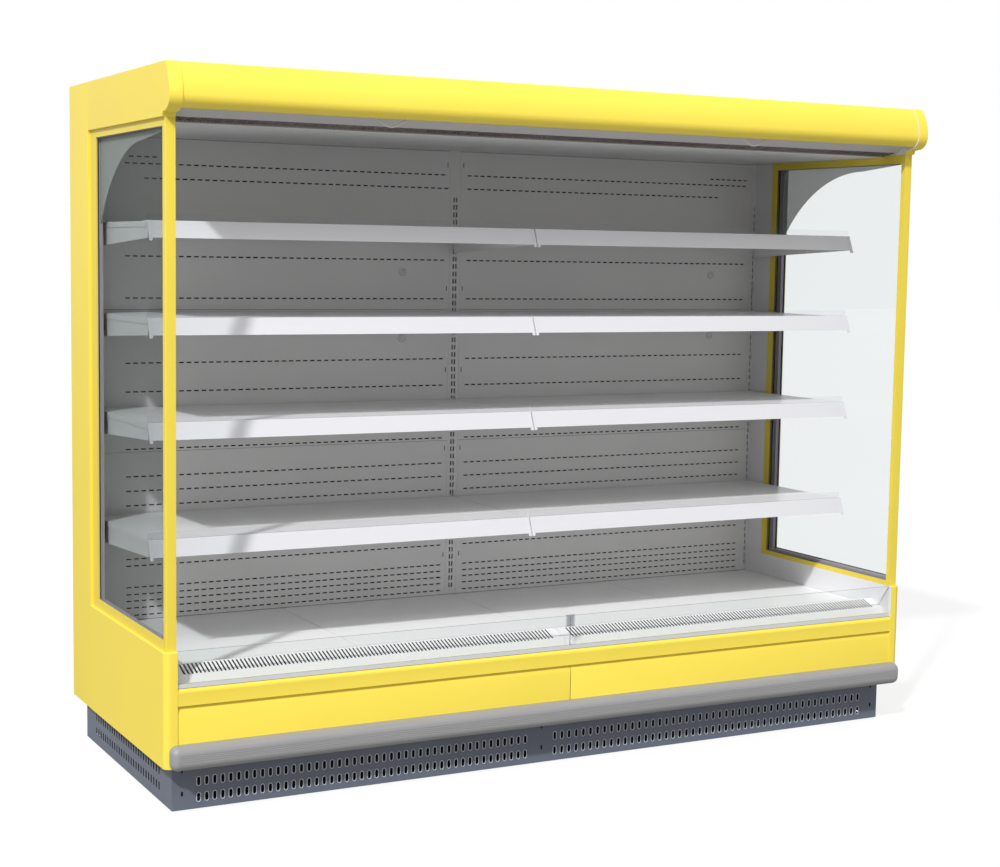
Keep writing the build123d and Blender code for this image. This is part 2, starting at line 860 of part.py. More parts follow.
def shelf_bracket(x, height):
    """A flat gusset with two hooks; x is the middle of its sheet."""
    under = height - rail_thickness - shelf_sheet
    rear = panel_plane - bracket_rear_gap
    pivot = hook_slot(height)
    ear = panel_plane - shelf_rear_gap + bracket_side_gap
    outline = [
        (ear, under),
        (ear, pivot + hook_radius),
        (rear, pivot + hook_radius),
        (rear, under - bracket_rear_height),
        (rear - bracket_foot, under - bracket_rear_height),
        (rear - bracket_knee[0], under - bracket_knee[1]),
        (shelf_front + shelf_sheet, under - bracket_front_height),
        (shelf_front + shelf_sheet, under),
    ]
    sheet_x = (x - bracket_sheet / 2, x + bracket_sheet / 2)
    plate = across(sheet_x, outline)
    pin_y = panel_plane + upright_sheet / 2
    plate += rod((sheet_x[0], pin_y, pivot), hook_radius, bracket_sheet, (1, 0, 0))
    tip = panel_plane + upright_sheet + hook_reach
    low = pivot - slot_height / 2 + hook_clearance
    plate += block(sheet_x, (rear - past, tip), (low, pivot))
    plate += block(sheet_x, (tip - hook_tip, tip), (low - hook_tip, pivot))
    second = 2 * slot_pitch
    plate += block(sheet_x, (rear - past, tip - hook_tip), (low - second, pivot - second + hook_radius))
    return plate


def price_rail(x_range, height):
    """The slanted rail along the shelf's front, its flange on the plate and its two end caps."""
    low = height - rail_height
    flange = height - rail_thickness
    rear = rail_top_front + rail_flange
    outline = [
        (rail_top_front, height),
        (rail_bottom_front, low),
        (rail_bottom_front + rail_thickness, low),
        (rail_top_front + rail_thickness, flange),
        (rear, flange),
        (rear, height),
    ]
    rail = across(x_range, outline)
    width, depth = rail_cap
    lean = (rail_top_front - rail_bottom_front) / rail_height
    front = rail_bottom_front - lean * rail_cap_drop
    cap = [
        (rail_top_front - rail_cap_proud, height),
        (front - rail_cap_proud, low - rail_cap_drop),
        (front + depth, low - rail_cap_drop),
        (rail_top_front + depth, height),
    ]
    for x0 in (x_range[0], x_range[1] - width):
        rail += across((x0, x0 + width), cap)
    return rail


def shelf_plate(x_range, inner_x, height):
    """An upturned folded tray between the brackets, with lips folded over them."""
    top = height - rail_thickness
    rear = panel_plane - shelf_rear_gap
    plate = block(inner_x, (shelf_front, rear), (top - shelf_flange, top))
    hollow_x = (inner_x[0] + shelf_sheet, inner_x[1] - shelf_sheet)
    hollow_y = (shelf_front + shelf_sheet, rear - shelf_sheet)
    plate -= block(hollow_x, hollow_y, (top - shelf_flange - past, top - shelf_sheet))
    for x in ((x_range[0], inner_x[0]), (inner_x[1], x_range[1])):
        plate += block(x, (shelf_front, rear), (top - shelf_sheet, top))
    for x in (x_range[0], x_range[1] - shelf_sheet):
        plate += block((x, x + shelf_sheet), (shelf_front, rear), (top - side_fold_height, top))
    return plate


def shelf(side, height):
    """One shelf: folded plate, two brackets, slanted price rail and clear front stop."""
    x_range = tuple(sorted((side * shelf_joint_gap / 2, side * (inner_half - shelf_end_gap))))
    columns = sorted((side * middle_slot_offset, side * (inner_half - end_slot_offset)))
    reach = bracket_sheet / 2 + bracket_side_gap
    plate = shelf_plate(x_range, (columns[0] + reach, columns[1] - reach), height)
    stop_front = shelf_front + stop_setback
    stop_x = (x_range[0] + stop_end_gap, x_range[1] - stop_end_gap)
    stop = block(stop_x, (stop_front, stop_front + stop_thickness), (height, height + stop_height))
    return [plate, *[shelf_bracket(x, height) for x in columns], price_rail(x_range, height), stop]


# ------------------------------------------------------------------------ deck
def deck_tray(index):
    """A folded tray; index 0 is the leftmost."""
    pitch = 2 * inner_half / tray_count
    middle = (index - (tray_count - 1) / 2) * pitch
    half = (pitch - tray_side_gap) / 2
    x = (middle - half, middle + half)
    y = (tray_front, panel_plane - tray_rear_gap)
    tray = block(x, y, (deck_height - tray_depth_of_edge, deck_height))
    inside = [(low + sheet, high - sheet) for low, high in (x, y)]
    tray -= block(*inside, (deck_height - tray_depth_of_edge - past, deck_height - sheet))
    return [tray]


def grille_x(side):
    return tuple(sorted((side * grille_side_gap, side * (inner_half - grille_side_gap))))


def return_grille(side):
    """The bent grille sheet in front of the trays, with slots that run front to rear."""
    x0, x1 = grille_x(side)
    foot = fascia_top - sheet
    rise = (grille_front + grille_foot_rise[0], fascia_top + grille_foot_rise[1])
    top = [
        (grille_front, foot),
        rise,
        grille_crest,
        (grille_back_bend, deck_height),
        (grille_rear, deck_height),
    ]
    under = [
        (grille_rear - sheet, deck_height - sheet),
        (grille_back_bend - sheet, deck_height - sheet),
        (grille_crest[0], grille_crest[1] - 1.2 * sheet),
        (rise[0] + 1.2 * sheet, rise[1] - sheet),
        (grille_front + 1.2 * sheet, foot),
    ]
    bearer_top = deck_height - tray_depth_of_edge
    rear_fold = [(grille_rear, bearer_top), (grille_rear - sheet, bearer_top)]
    piece = across((x0, x1), top + rear_fold + under)
    count = int((x1 - x0 - 2 * grille_end_margin) // grille_slot_pitch)
    start = (x0 + x1) / 2 - (count - 1) * grille_slot_pitch / 2
    slot = Box(*grille_slot, 2 * tray_depth_of_edge)
    y = grille_slot_start + grille_slot[1] / 2
    return [piece - [Pos(start + i * grille_slot_pitch, y, deck_height) * slot for i in range(count)]]


def tray_bearer(x):
    """A bridge of upturned channel on two legs that stand on the tub's floor."""
    top = deck_height - tray_depth_of_edge
    y = (grille_rear - bearer_overhang, panel_plane - bearer_rear_gap)
    half = bearer_width / 2
    bar = block((x - half, x + half), y, (top - bearer_height, top))
    inside = (x - half + bearer_sheet, x + half - bearer_sheet)
    bar -= block(inside, (y[0] - past, y[1] + past), (top - bearer_height - past, top - bearer_sheet))
    for leg_y in (y[0] + bearer_leg_inset, y[1] - bearer_leg_inset - bearer_sheet):
        bar += block((x - half, x + half), (leg_y, leg_y + bearer_sheet), (tub_floor_top, top - bearer_sheet))
    return bar


def tray_bearers():
    """Five bearers: at both ends and under every seam between the trays."""
    edge = inner_half - tub_side_gap - bearer_width / 2
    seam = inner_half / 2
    return [tray_bearer(x) for x in (-edge, -seam, 0.0, seam, edge)]


# ----------------------------------------------------------------------- front
def fascia_path(inset):
    """Front and rounded top of the fascia's section, drawn in by a wall thickness."""
    front, top = fascia_front + inset, fascia_top - inset
    depth, drop = fascia_edge[0] - inset / 2, fascia_edge[1] - inset
    turn = 1 - math.sqrt(0.5)
    return [
        Line((front, fascia_bottom + inset), (front, top - drop)),
        ThreePointArc((front, top - drop), (front + depth * turn, top - drop * turn), (front + depth, top)),
        Line((front + depth, top), (fascia_rear, top)),
    ]


def fascia_strip():
    """The yellow strip along the front: a folded sheet that lies on the tub's front wall."""
    half = inner_half - tub_side_gap
    inner = fascia_bottom + sheet
    lower = run_of_lines([
        (fascia_front, fascia_bottom),
        (tub_front, fascia_bottom),
        (tub_front, inner),
        (fascia_front + sheet, inner),
    ])
    end = [Line((fascia_rear, fascia_top), (fascia_rear, fascia_top - sheet))]
    return [across((-half, half), fascia_path(0.0) + fascia_path(sheet) + lower + end)]


def kick_panel(side):
    """A folded front panel; its lower edge is behind the bumper."""
    x = tuple(sorted((side * kick_joint_gap / 2, side * (inner_half - tub_side_gap))))
    outline = [
        (tub_front, kick_bottom),
        (kick_front, kick_bottom),
        (kick_front, kick_top - kick_bevel[1]),
        (kick_front + kick_bevel[0], kick_top),
        (tub_front, kick_top),
        (tub_front, kick_top - sheet),
        (kick_front + kick_bevel[0] + sheet, kick_top - sheet),
        (kick_front + sheet, kick_top - kick_bevel[1] - sheet / 4),
        (kick_front + sheet, kick_bottom + sheet),
        (tub_front, kick_bottom + sheet),
    ]
    panel = across(x, outline)
    for end in x:
        deep, wide = kick_end_bevel
        inward = end + wide if end == x[0] else end - wide
        corner = Polyline((end, kick_front), (inward, kick_front), (end, kick_front + deep), close=True)
        panel -= extrude(Pos(0, 0, kick_bottom) * make_face(corner.edges()), amount=kick_top - kick_bottom)
    return panel


def riser_glass():
    outer = inner_half - riser_end_gap
    inner = riser_joint_gap / 2
    y = (riser_front, riser_front + riser_thickness)
    z = (fascia_top + riser_rail_wall, ledge_height)
    return [block(tuple(sorted((side * inner, side * outer))), y, z) for side in (-1, 1)]


def riser_rail():
    """The channel that holds the clear riser, and the clip at its joint."""
    half = inner_half - riser_rail_end_gap
    slot_y = (riser_front - riser_slot_clearance, riser_front + riser_thickness + riser_slot_clearance)
    y = (slot_y[0] - riser_rail_wall, slot_y[1] + riser_rail_wall)
    rail = block((-half, half), y, (fascia_top, fascia_top + riser_rail_height))
    rail -= block((-half - past, half + past), slot_y, (fascia_top + riser_rail_wall, ledge_height))
    return [rail, riser_clip(slot_y)]


def riser_clip(slot_y):
    """The clear joiner: a saddle over the top of both panes, on a blade in the gap between them."""
    half = clip_width / 2
    top = ledge_height + riser_slot_clearance
    y = (slot_y[0] - clip_wall, slot_y[1] + clip_wall)
    saddle = block((-half, half), y, (ledge_height - clip_height, top + clip_wall))
    saddle -= block((-half - past, half + past), slot_y, (fascia_top, top))
    blade_half = riser_joint_gap / 2 - clip_blade_gap
    return saddle + block((-blade_half, blade_half), slot_y, (fascia_top + riser_rail_wall, top + clip_wall / 2))


def bumper_outline(inset, ribs):
    """Closed outline of the bumper; ribs are shallow grooves along its front."""
    back = kick_front + inset
    front = kick_front - bumper_reach + inset
    low, high = bumper_bottom + inset, bumper_top - inset
    radius = bumper_round - inset
    turn = radius * (1 - math.sqrt(0.5))
    face = (low + radius, high - radius)
    steps = [(front, face[0])]
    for i in range(ribs):
        z = face[0] + (face[1] - face[0]) * (i + 0.5) / ribs
        half = bumper_rib_width / 2
        steps += [
            (front, z - half),
            (front + bumper_rib_depth, z - half / 2),
            (front + bumper_rib_depth, z + half / 2),
            (front, z + half),
        ]
    steps.append((front, face[1]))
    rounds = [
        ThreePointArc((front + radius, low), (front + turn, low + turn), steps[0]),
        ThreePointArc(steps[-1], (front + turn, high - turn), (front + radius, high)),
    ]
    rear = run_of_lines([(front + radius, high), (back, high), (back, low), (front + radius, low)])
    return run_of_lines(steps) + rounds + rear


def bumper():
    """The grey bumper rail and its two rounded end caps."""
    rail = across((-inner_half, inner_half), bumper_outline(0, bumper_rib_count))
    rail -= across((-inner_half - past, inner_half + past), bumper_outline(bumper_wall, 0))
    end = outer_half - bumper_end_step
    cap = across((inner_half, end), bumper_outline(0, 0))
    cap -= block((inner_half, end), (0, kick_front), (bumper_bottom, bumper_top))
    ends = cap.edges().filter_by_position(Axis.X, end - near, end + near)
    rounded = [edge for edge in ends if edge.center().Y < -past]
    cap = fillet(rounded, bumper_end_round)
    return [other_side(cap), rail, cap]


# --------------------------------------------------------------- refrigeration
def fan_guard(x, y, z, hole_radius):
    """Motor on three arms from a ring that is screwed to the plate in front of it."""
    axis = (0, 1, 0)
    depth = fan_hub_length + fan_motor_gap + fan_arm[1]
    outer = hole_radius + fan_ring
    guard = rod((x, y, z), outer, depth, axis) - rod((x, y - past, z), hole_radius, depth + 2 * past, axis)
    arm_y = y + depth - fan_arm[1]
    length = hole_radius + fan_ring / 2
    for turn in range(fan_arm_count):
        arm = Pos(length / 2, 0, 0) * Box(length, fan_arm[1], fan_arm[0])
        angle = 90 + 360 / fan_arm_count * turn
        guard += Pos(x, arm_y + fan_arm[1] / 2, z) * Rot(0, angle, 0) * arm
    motor = rod((x, arm_y, z), fan_motor_radius, fan_motor_length, axis)
    bore = rod((x, arm_y - past, z), fan_shaft_radius + shaft_clearance, fan_shaft_length + 2 * past, axis)
    return guard + motor - bore


def fan_blades(x, y, z, radius):
    """Hub, pitched blades and shaft; y is the front of the fan's ring."""
    axis = (0, 1, 0)
    rear = y + fan_hub_length
    middle = Pos(x, y + fan_hub_length / 2, z)
    hub = rod((x, y, z), fan_hub_radius, fan_hub_length, axis)
    hub = fillet(hub.edges().sort_by(Axis.Y)[0], fan_hub_edge)
    hub += rod((x, rear, z), fan_shaft_radius, fan_shaft_length, axis)
    length = radius - fan_hub_radius / 2
    for turn in range(fan_blade_count):
        blade = Box(length, fan_blade_sheet, radius * fan_blade_chord)
        placed = Pos(radius - length / 2, 0, 0) * Rot(fan_blade_pitch, 0, 0) * blade
        hub += middle * Rot(0, 360 / fan_blade_count * turn, 0) * placed
    return hub


def fan_plate():
    """The upright plate between return duct and evaporator, with the fan guards."""
    half = inner_half - tub_side_gap
    top = deck_height - tray_depth_of_edge - bearer_height
    rear = fan_plate_y + sheet
    plate = block((-half, half), (fan_plate_y, rear), (tub_floor_top, top))
    plate += block((-half, half), (rear, rear + fan_plate_fold), (tub_floor_top, tub_floor_top + sheet))
    hole = fan_blade_radius + fan_tip_gap
    for x in fan_places:
        plate -= rod((x, fan_plate_y - past, fan_height), hole, sheet + 2 * past, (0, 1, 0))
    return [plate, *[fan_guard(x, rear, fan_height, hole) for x in fan_places]]


def evaporator_fan(index):
    return [fan_blades(fan_places[index], fan_plate_y + sheet, fan_height, fan_blade_radius)]


def return_bend(x, centre_y, z, side):
    """A half ring that joins two tubes of the coil, standing off the end plate."""
    bend = Plane(origin=(x, centre_y, z), x_dir=(0, 1, 0), z_dir=(0, 0, 1))
    path = bend * CenterArc((0, 0), bend_radius, 0, -180 * side)
    start = Plane(origin=path @ 0, z_dir=path % 0)
    return sweep(start * Circle(tube_radius), path=path)


def evaporator():
    """Fin pack between two end plates that stand on the tub floor, with return bends."""
    coil = block((-evaporator_half, evaporator_half), evaporator_y, evaporator_z)
    plate_y = (evaporator_y[0] - coil_plate_edge, evaporator_y[1] + coil_plate_edge)
    plate_z = (tub_floor_top, evaporator_z[1] + coil_plate_edge)
    face = evaporator_half + evaporator_plate
    first = evaporator_y[0] + bend_inset + bend_radius
    for side in (-1, 1):
        x = tuple(sorted((side * evaporator_half, side * face)))
        coil += block(x, plate_y, plate_z)
        for step in range(bend_columns):
            for z in (evaporator_z[0] + bend_inset, evaporator_z[1] - bend_inset):
                coil += return_bend(side * face, first + bend_pitch * step, z, side)
    return [coil]


def suction_place():
    reach = bend_radius + tube_radius + pipe_radius + pipe_clearance
    return (evaporator_half + evaporator_plate + reach, compressor_centre[1])


def liquid_place():
    return (receiver_centre[0] + receiver_length / 2 + liquid_reach, receiver_centre[1])


def compressor_axis_height():
    return unit_floor + compressor_foot + compressor_radius


def saddles(centre, z, spread, size, sink):
    """Two blocks under a lying vessel; size is along and across it."""
    x, y = centre
    along, over = size
    for offset in (-spread, spread):
        yield block(
            (x + offset - along / 2, x + offset + along / 2),
            (y - over / 2, y + over / 2),
            (unit_floor, z - sink),
        )


def discharge_port():
    """Top of the stub that the discharge pipe leaves from."""
    x, y = compressor_centre
    return (x - compressor_length / 4, y, compressor_axis_height() + compressor_radius + port_rise)


def compressor():
    """A lying hermetic compressor on two saddles, with its terminal cover."""
    x, y = compressor_centre
    z = compressor_axis_height()
    half = compressor_length / 2
    can = rod((x - half, y, z), compressor_radius, compressor_length, (1, 0, 0))
    can = fillet(can.edges().filter_by(GeomType.CIRCLE), compressor_round)
    can += saddles(compressor_centre, z, half / 2, compressor_saddle, compressor_radius / 3)
    width, height = terminal_cover
    front = y - compressor_radius
    can += block((x - width / 2, x + width / 2), (front - terminal_reach, y), (z, z + height))
    port_x, _, port_top = discharge_port()
    return [can + rod((port_x, y, z), port_radius, port_top - z, (0, 0, 1))]


def condenser_shroud_y():
    return condenser_y[1] + coil_plate_edge


def condenser_axis():
    """X and Z of the condenser fan's axis."""
    return sum(condenser_x) / 2, unit_floor + condenser_height / 2


def condenser():
    """Fin pack with end plates, then the fan's shroud with its motor."""
    z = (unit_floor, unit_floor + condenser_height)
    coil = block(condenser_x, condenser_y, (z[0] + coil_plate_edge, z[1] - coil_plate_edge))
    shroud_y = condenser_shroud_y()
    for low in (condenser_x[0] - evaporator_plate, condenser_x[1]):
        coil += block((low, low + evaporator_plate), (condenser_y[0] - coil_plate_edge, shroud_y), z)
    middle, axis_z = condenser_axis()
    hole = condenser_fan_radius + fan_tip_gap
    shroud = block(condenser_x, (shroud_y, shroud_y + sheet), z)
    shroud -= rod((middle, shroud_y - past, axis_z), hole, sheet + 2 * past, (0, 1, 0))
    return [coil, shroud, fan_guard(middle, shroud_y + sheet, axis_z, hole)]


def condenser_fan():
    middle, axis_z = condenser_axis()
    return [fan_blades(middle, condenser_shroud_y() + sheet, axis_z, condenser_fan_radius)]


def pipe(points):
    path = FilletPolyline(*points, radius=pipe_bend)
    start = Plane(origin=path @ 0, z_dir=path % 0)
    return sweep(start * Circle(pipe_radius), path=path)


def receiver_axis_height():
    return unit_floor + receiver_foot + receiver_radius


def receiver():
    x, y = receiver_centre
    z = receiver_axis_height()
    vessel = rod((x - receiver_length / 2, y, z), receiver_radius, receiver_length, (1, 0, 0))
    vessel = fillet(vessel.edges().filter_by(GeomType.CIRCLE), receiver_round)
    vessel += saddles(receiver_centre, z, receiver_length / 4, receiver_saddle, receiver_radius / 3)
    return vessel


def refrigerant_circuit():
    """Receiver on two saddles, and the pipes between the units."""
    x, y = receiver_centre
    half = receiver_length / 2
    z = receiver_axis_height()
    coil_y = sum(condenser_y) / 2
    left, right = condenser_x[0] - evaporator_plate, condenser_x[1] + evaporator_plate
    port_x, port_y, port_z = discharge_port()
    high = port_z + pipe_rise
    inlet_z = unit_floor + condenser_height - pipe_drop
    discharge = pipe([
        (port_x, port_y, port_z),
        (port_x, port_y, high),
        (port_x, coil_y, high),
        (port_x, coil_y, inlet_z),
        (right, coil_y, inlet_z),
    ])
    turn = left - liquid_reach
    liquid = pipe([(left, coil_y, z), (turn, coil_y, z), (turn, y, z), (x - half, y, z)])
    lx, ly = liquid_place()
    coil_z = sum(evaporator_z) / 2
    feed = pipe([(x + half, y, z), (lx, ly, z), (lx, ly, coil_z), (lx, evaporator_y[1], coil_z)])
    sx, sy = suction_place()
    cz = compressor_axis_height()
    can_end = compressor_centre[0] + compressor_length / 2
    face = evaporator_half + evaporator_plate
    suction = pipe([(face, sy, coil_z), (sx, sy, coil_z), (sx, sy, cz), (can_end, sy, cz)])
    return [receiver(), discharge, liquid, feed, suction]


def control_box():
    """Electrical box with its lid, and the gland of the mains lead."""
    z = (unit_floor, unit_floor + control_box_height)
    box = block(control_box_x, control_box_y, z)
    box = fillet(box.edges().filter_by(Axis.Z), control_box_edge)
    inset = control_lid_inset
    front = control_box_y[0]
    lid_x = (control_box_x[0] + inset, control_box_x[1] - inset)
    lid = block(lid_x, (front - control_lid, front), (z[0] + inset, z[1] - inset))
    centre = (control_box_x[0] + gland_place[0], control_box_y[1], z[0] + gland_place[1])
    gland = rod(centre, gland_radius, gland_length, (0, 1, 0))
    nut = Plane(origin=centre, z_dir=(0, 1, 0)) * RegularPolygon(gland_radius + gland_nut_wall, 6)
    gland += extrude(nut, amount=gland_length / 2)
    bore_start = (centre[0], centre[1] + gland_floor, centre[2])
    return [box, lid, gland - rod(bore_start, gland_bore, gland_length, (0, 1, 0))]


def drain():
    """Drain pipe with its flange on the tub floor, and the drip tray under it."""
    x, y = drain_place
    bottom = unit_floor + drip_tray_height + drain_drop_gap
    tube = rod((x, y, bottom), drain_radius, tub_floor_top - bottom, (0, 0, 1))
    tube += rod((x, y, tub_floor_top), drain_radius + drain_flange[0], drain_flange[1], (0, 0, 1))
    tube -= rod((x, y, bottom - past), drain_radius - drain_wall, tub_floor_top, (0, 0, 1))
    half_x, half_y = drip_tray_half
    span = ((x - half_x, x + half_x), (y - half_y, y + half_y))
    top = unit_floor + drip_tray_height
    tray = block(*span, (unit_floor, top))
    inside = [(low + sheet, high - sheet) for low, high in span]
    tray -= block(*inside, (unit_floor + sheet, top + past))
    return [tube, tray]


# -------------------------------------------------------------------- assembly
def pieces():
    """Every node of the part with its list of solids."""
    named = {
        "base_frame": base_frame(),
        "levelling_feet": levelling_feet(),
        "plinth_panels": [plinth_front(), *plinth_sides()],
        "insulated_tub": insulated_tub(),
        "insulated_back_wall": insulated_back_wall(),
        "insulated_roof": insulated_roof(),
        "glazing_spacers": both_sides(glazing_spacer()),
        "corner_masks": both_sides(corner_mask()),
        "canopy_shell": canopy_shell(),
        "canopy_frame": canopy_frame(),
        "canopy_lamp": canopy_lamp(),
        "air_outlet": air_outlet(),
        "ceiling_panel": ceiling_panel(),
        "shelf_uprights": shelf_uprights(),
        "riser_glass": riser_glass(),
        "riser_rail": riser_rail(),
        "fascia_strip": fascia_strip(),
        "kick_panels": [kick_panel(-1), kick_panel(1)],
        "bumper": bumper(),
        "tray_bearers": tray_bearers(),
        "fan_plate": fan_plate(),
        "evaporator": evaporator(),
        "compressor": compressor(),
        "condenser": condenser(),
        "condenser_fan": condenser_fan(),
        "refrigerant_circuit": refrigerant_circuit(),
        "control_box": control_box(),
        "drain": drain(),
    }
    gaskets = glazing_gaskets()
    named["glazing_gaskets"] = gaskets + [other_side(gasket) for gasket in gaskets]
    end_pieces = (
        ("end_panel", end_panel),
        ("window_frame", window_frame),
        ("window_glass", window_glass),
    )
    for name, build in end_pieces:
        right = build()
        named["right_" + name] = right
        named["left_" + name] = [other_side(solid) for solid in right]
    for name, side in (("left", -1), ("right", 1)):
        named[name + "_blind_roller"] = blind_roller(side)
        named[name + "_blind_cloth"] = blind_cloth(side)
        named[name + "_blind_bar"] = blind_bar(side)
        named[name + "_rear_panels"] = rear_panels(side)
        named[name + "_return_grille"] = return_grille(side)
        for row, height in enumerate(shelf_heights, 1):
            named[f"{name}_shelf_{row}"] = shelf(side, height)
    for index in range(tray_count):
        named[f"deck_tray_{index + 1}"] = deck_tray(index)
    for index in range(len(fan_places)):
        named[f"evaporator_fan_{index + 1}"] = evaporator_fan(index)
    return named


def main():
    os.makedirs("parts", exist_ok=True)
    for name, solids in pieces().items():
        flat = [solid for piece in solids for solid in piece.solids()]
        export_step(Pos(0, origin_shift, 0) * Compound(flat), f"parts/{name}.step")


if __name__ == "__main__":
    main()
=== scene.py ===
# %% [markdown]
# # An open multideck display fridge
# A shop fridge without doors: two bays of four shelves between glazed end walls, a curved canopy
# that blows cold air down the front, and the cooling plant under the deck. The CAD part already
# holds its main shapes. This scene gives each surface its finish and adds the fine work that a
# solid model leaves out: slotted air panels, pressed rims round the vents, honeycomb and cloth.

import json
import math

import bmesh
import bpy
from mathutils import Matrix, Vector

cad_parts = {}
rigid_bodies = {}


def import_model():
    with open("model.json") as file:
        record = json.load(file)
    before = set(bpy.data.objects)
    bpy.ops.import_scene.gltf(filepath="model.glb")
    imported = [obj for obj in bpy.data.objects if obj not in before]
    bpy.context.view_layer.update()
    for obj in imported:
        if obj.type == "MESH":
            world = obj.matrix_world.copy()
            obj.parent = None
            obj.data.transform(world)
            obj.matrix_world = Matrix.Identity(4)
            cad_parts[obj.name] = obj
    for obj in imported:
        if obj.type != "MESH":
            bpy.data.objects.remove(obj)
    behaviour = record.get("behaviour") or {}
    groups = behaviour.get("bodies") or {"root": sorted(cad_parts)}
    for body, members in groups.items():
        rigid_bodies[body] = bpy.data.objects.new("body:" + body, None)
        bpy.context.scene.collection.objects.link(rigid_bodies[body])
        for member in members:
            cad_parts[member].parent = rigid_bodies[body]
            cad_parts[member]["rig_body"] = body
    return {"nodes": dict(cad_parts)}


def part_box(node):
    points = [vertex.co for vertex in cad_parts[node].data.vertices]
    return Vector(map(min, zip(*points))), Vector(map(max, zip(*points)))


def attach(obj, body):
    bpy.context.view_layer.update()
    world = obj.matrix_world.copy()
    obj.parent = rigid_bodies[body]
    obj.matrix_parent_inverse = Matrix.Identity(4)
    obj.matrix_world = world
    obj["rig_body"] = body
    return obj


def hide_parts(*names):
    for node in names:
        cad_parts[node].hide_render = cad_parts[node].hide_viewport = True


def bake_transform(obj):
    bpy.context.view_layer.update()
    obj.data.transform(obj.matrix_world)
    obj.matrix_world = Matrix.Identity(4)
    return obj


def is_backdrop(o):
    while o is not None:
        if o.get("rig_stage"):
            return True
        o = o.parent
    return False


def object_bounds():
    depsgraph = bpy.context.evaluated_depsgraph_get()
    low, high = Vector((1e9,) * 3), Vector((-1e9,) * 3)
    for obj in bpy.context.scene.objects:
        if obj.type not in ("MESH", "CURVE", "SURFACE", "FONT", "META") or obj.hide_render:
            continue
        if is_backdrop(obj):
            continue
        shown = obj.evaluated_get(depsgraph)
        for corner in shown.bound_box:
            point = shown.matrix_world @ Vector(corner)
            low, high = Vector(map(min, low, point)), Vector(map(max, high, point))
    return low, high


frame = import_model()
scene = bpy.context.scene
nodes = frame["nodes"]
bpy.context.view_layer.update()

# %% [markdown]
# ## The camera
# The picture was taken from the left at head height with a short telephoto lens. The numbers
# below were found by matching some thirty corners of the cabinet with their places in the
# photograph. Yaw turns the camera to the right, pitch tips it down, roll leans it over.

# %% The camera
EYE = Vector((-2.7734, -5.1583, 1.5686))
YAW, PITCH, ROLL = 0.4901, -0.0994, 0.0161

sideways, forwards = math.sin(YAW) * math.cos(PITCH), math.cos(YAW) * math.cos(PITCH)
ahead = Vector((sideways, forwards, math.sin(PITCH)))
level = Vector((math.cos(YAW), -math.sin(YAW), 0))
right = (level * math.cos(ROLL) + level.cross(ahead) * math.sin(ROLL)).normalized()
up = right.cross(ahead).normalized()

camera = bpy.data.objects.new("camera", bpy.data.cameras.new("camera"))
camera.data.sensor_width = 36.0
camera.data.lens = 65.18
turn = Matrix((right, up, -ahead)).transposed().to_4x4()
camera.matrix_world = Matrix.Translation(EYE) @ turn
scene.collection.objects.link(camera)
scene.camera = camera
scene.view_settings.view_transform = "Standard"
print("camera at", tuple(round(v, 2) for v in EYE), "lens", round(camera.data.lens, 1), "mm")

# A glance along the window passes many clear faces: panes and the clear stops of four shelves.
scene.cycles.transparent_max_bounces = 32


# %% [markdown]
# ## Colours and nodes
# Colours are written as they look on a screen, in sRGB hex, while the renderer adds light in
# linear numbers, so one function turns the first into the second. Another adds a node with its
# settings and its links in one line, which keeps each material short enough to read. What feeds
# a node may be a plain value, a socket or a whole node.

# %% A colour
def colour(code):
    """An sRGB hex colour as linear RGBA."""
    parts = [int(code[i : i + 2], 16) / 255 for i in (1, 3, 5)]
    return (*[c / 12.92 if c <= 0.04045 else ((c + 0.055) / 1.055) ** 2.4 for c in parts], 1.0)


# %% A node and what feeds it
def feed(tree, node, inputs):
    """Each input is a value, the socket that feeds it, or a node whose first output feeds it."""
    for name, value in inputs.items():
        if isinstance(value, bpy.types.Node):
            value = value.outputs[0]
        if isinstance(value, bpy.types.NodeSocket):
            tree.links.new(value, node.inputs[name])
        else:
            node.inputs[name].default_value = value


def add(tree, kind, inputs=None, **settings):
    """Adds a node with its settings and its links."""
    made = tree.nodes.new(kind)
    for name, value in settings.items():
        setattr(made, name, value)
    feed(tree, made, inputs or {})
    return made


# %% The start of a material
# A Mix node has sockets for numbers, vectors and colours. These are the ones for colours.
COLOUR_A, COLOUR_B, MIXED = 6, 7, 2


def start_material(name, code, roughness, metallic=0.0, **more):
    """A material with one Principled shader, its tree and the coordinates of the mesh."""
    plain = {label.replace("_", " "): value for label, value in more.items()}
    material = bpy.data.materials.new(name)
    material.use_nodes = True
    tree = material.node_tree
    tree.nodes.clear()
    plain = {"Base Color": colour(code), "Roughness": roughness, "Metallic": metallic, **plain}
    shader = add(tree, "ShaderNodeBsdfPrincipled", plain)
    add(tree, "ShaderNodeOutputMaterial", {"Surface": shader})
    place = add(tree, "ShaderNodeTexCoord").outputs["Object"]
    print("material", name)
    return material, tree, shader, place


# %% [markdown]
# ## Powder coat and coil coat
# The yellow sheets are powder coated: sprayed as dust and baked, which leaves a faint orange
# peel of waves a millimetre or two wide. The white sheets are coil coated before they are bent
# and lie flatter. Both are the same recipe with other numbers: two noises, one for tone and
# roughness over a hand's width, one for the peel. The peel is drawn at 5 mm, coarser than life,
# because a millimetre is less than a pixel here. The yellow is a satin coat that mirrors little
# of the white room, which keeps its colour full, so its specular level is low.

# %% Coated steel
HAND, PEEL_SIZE = 0.22, 0.005


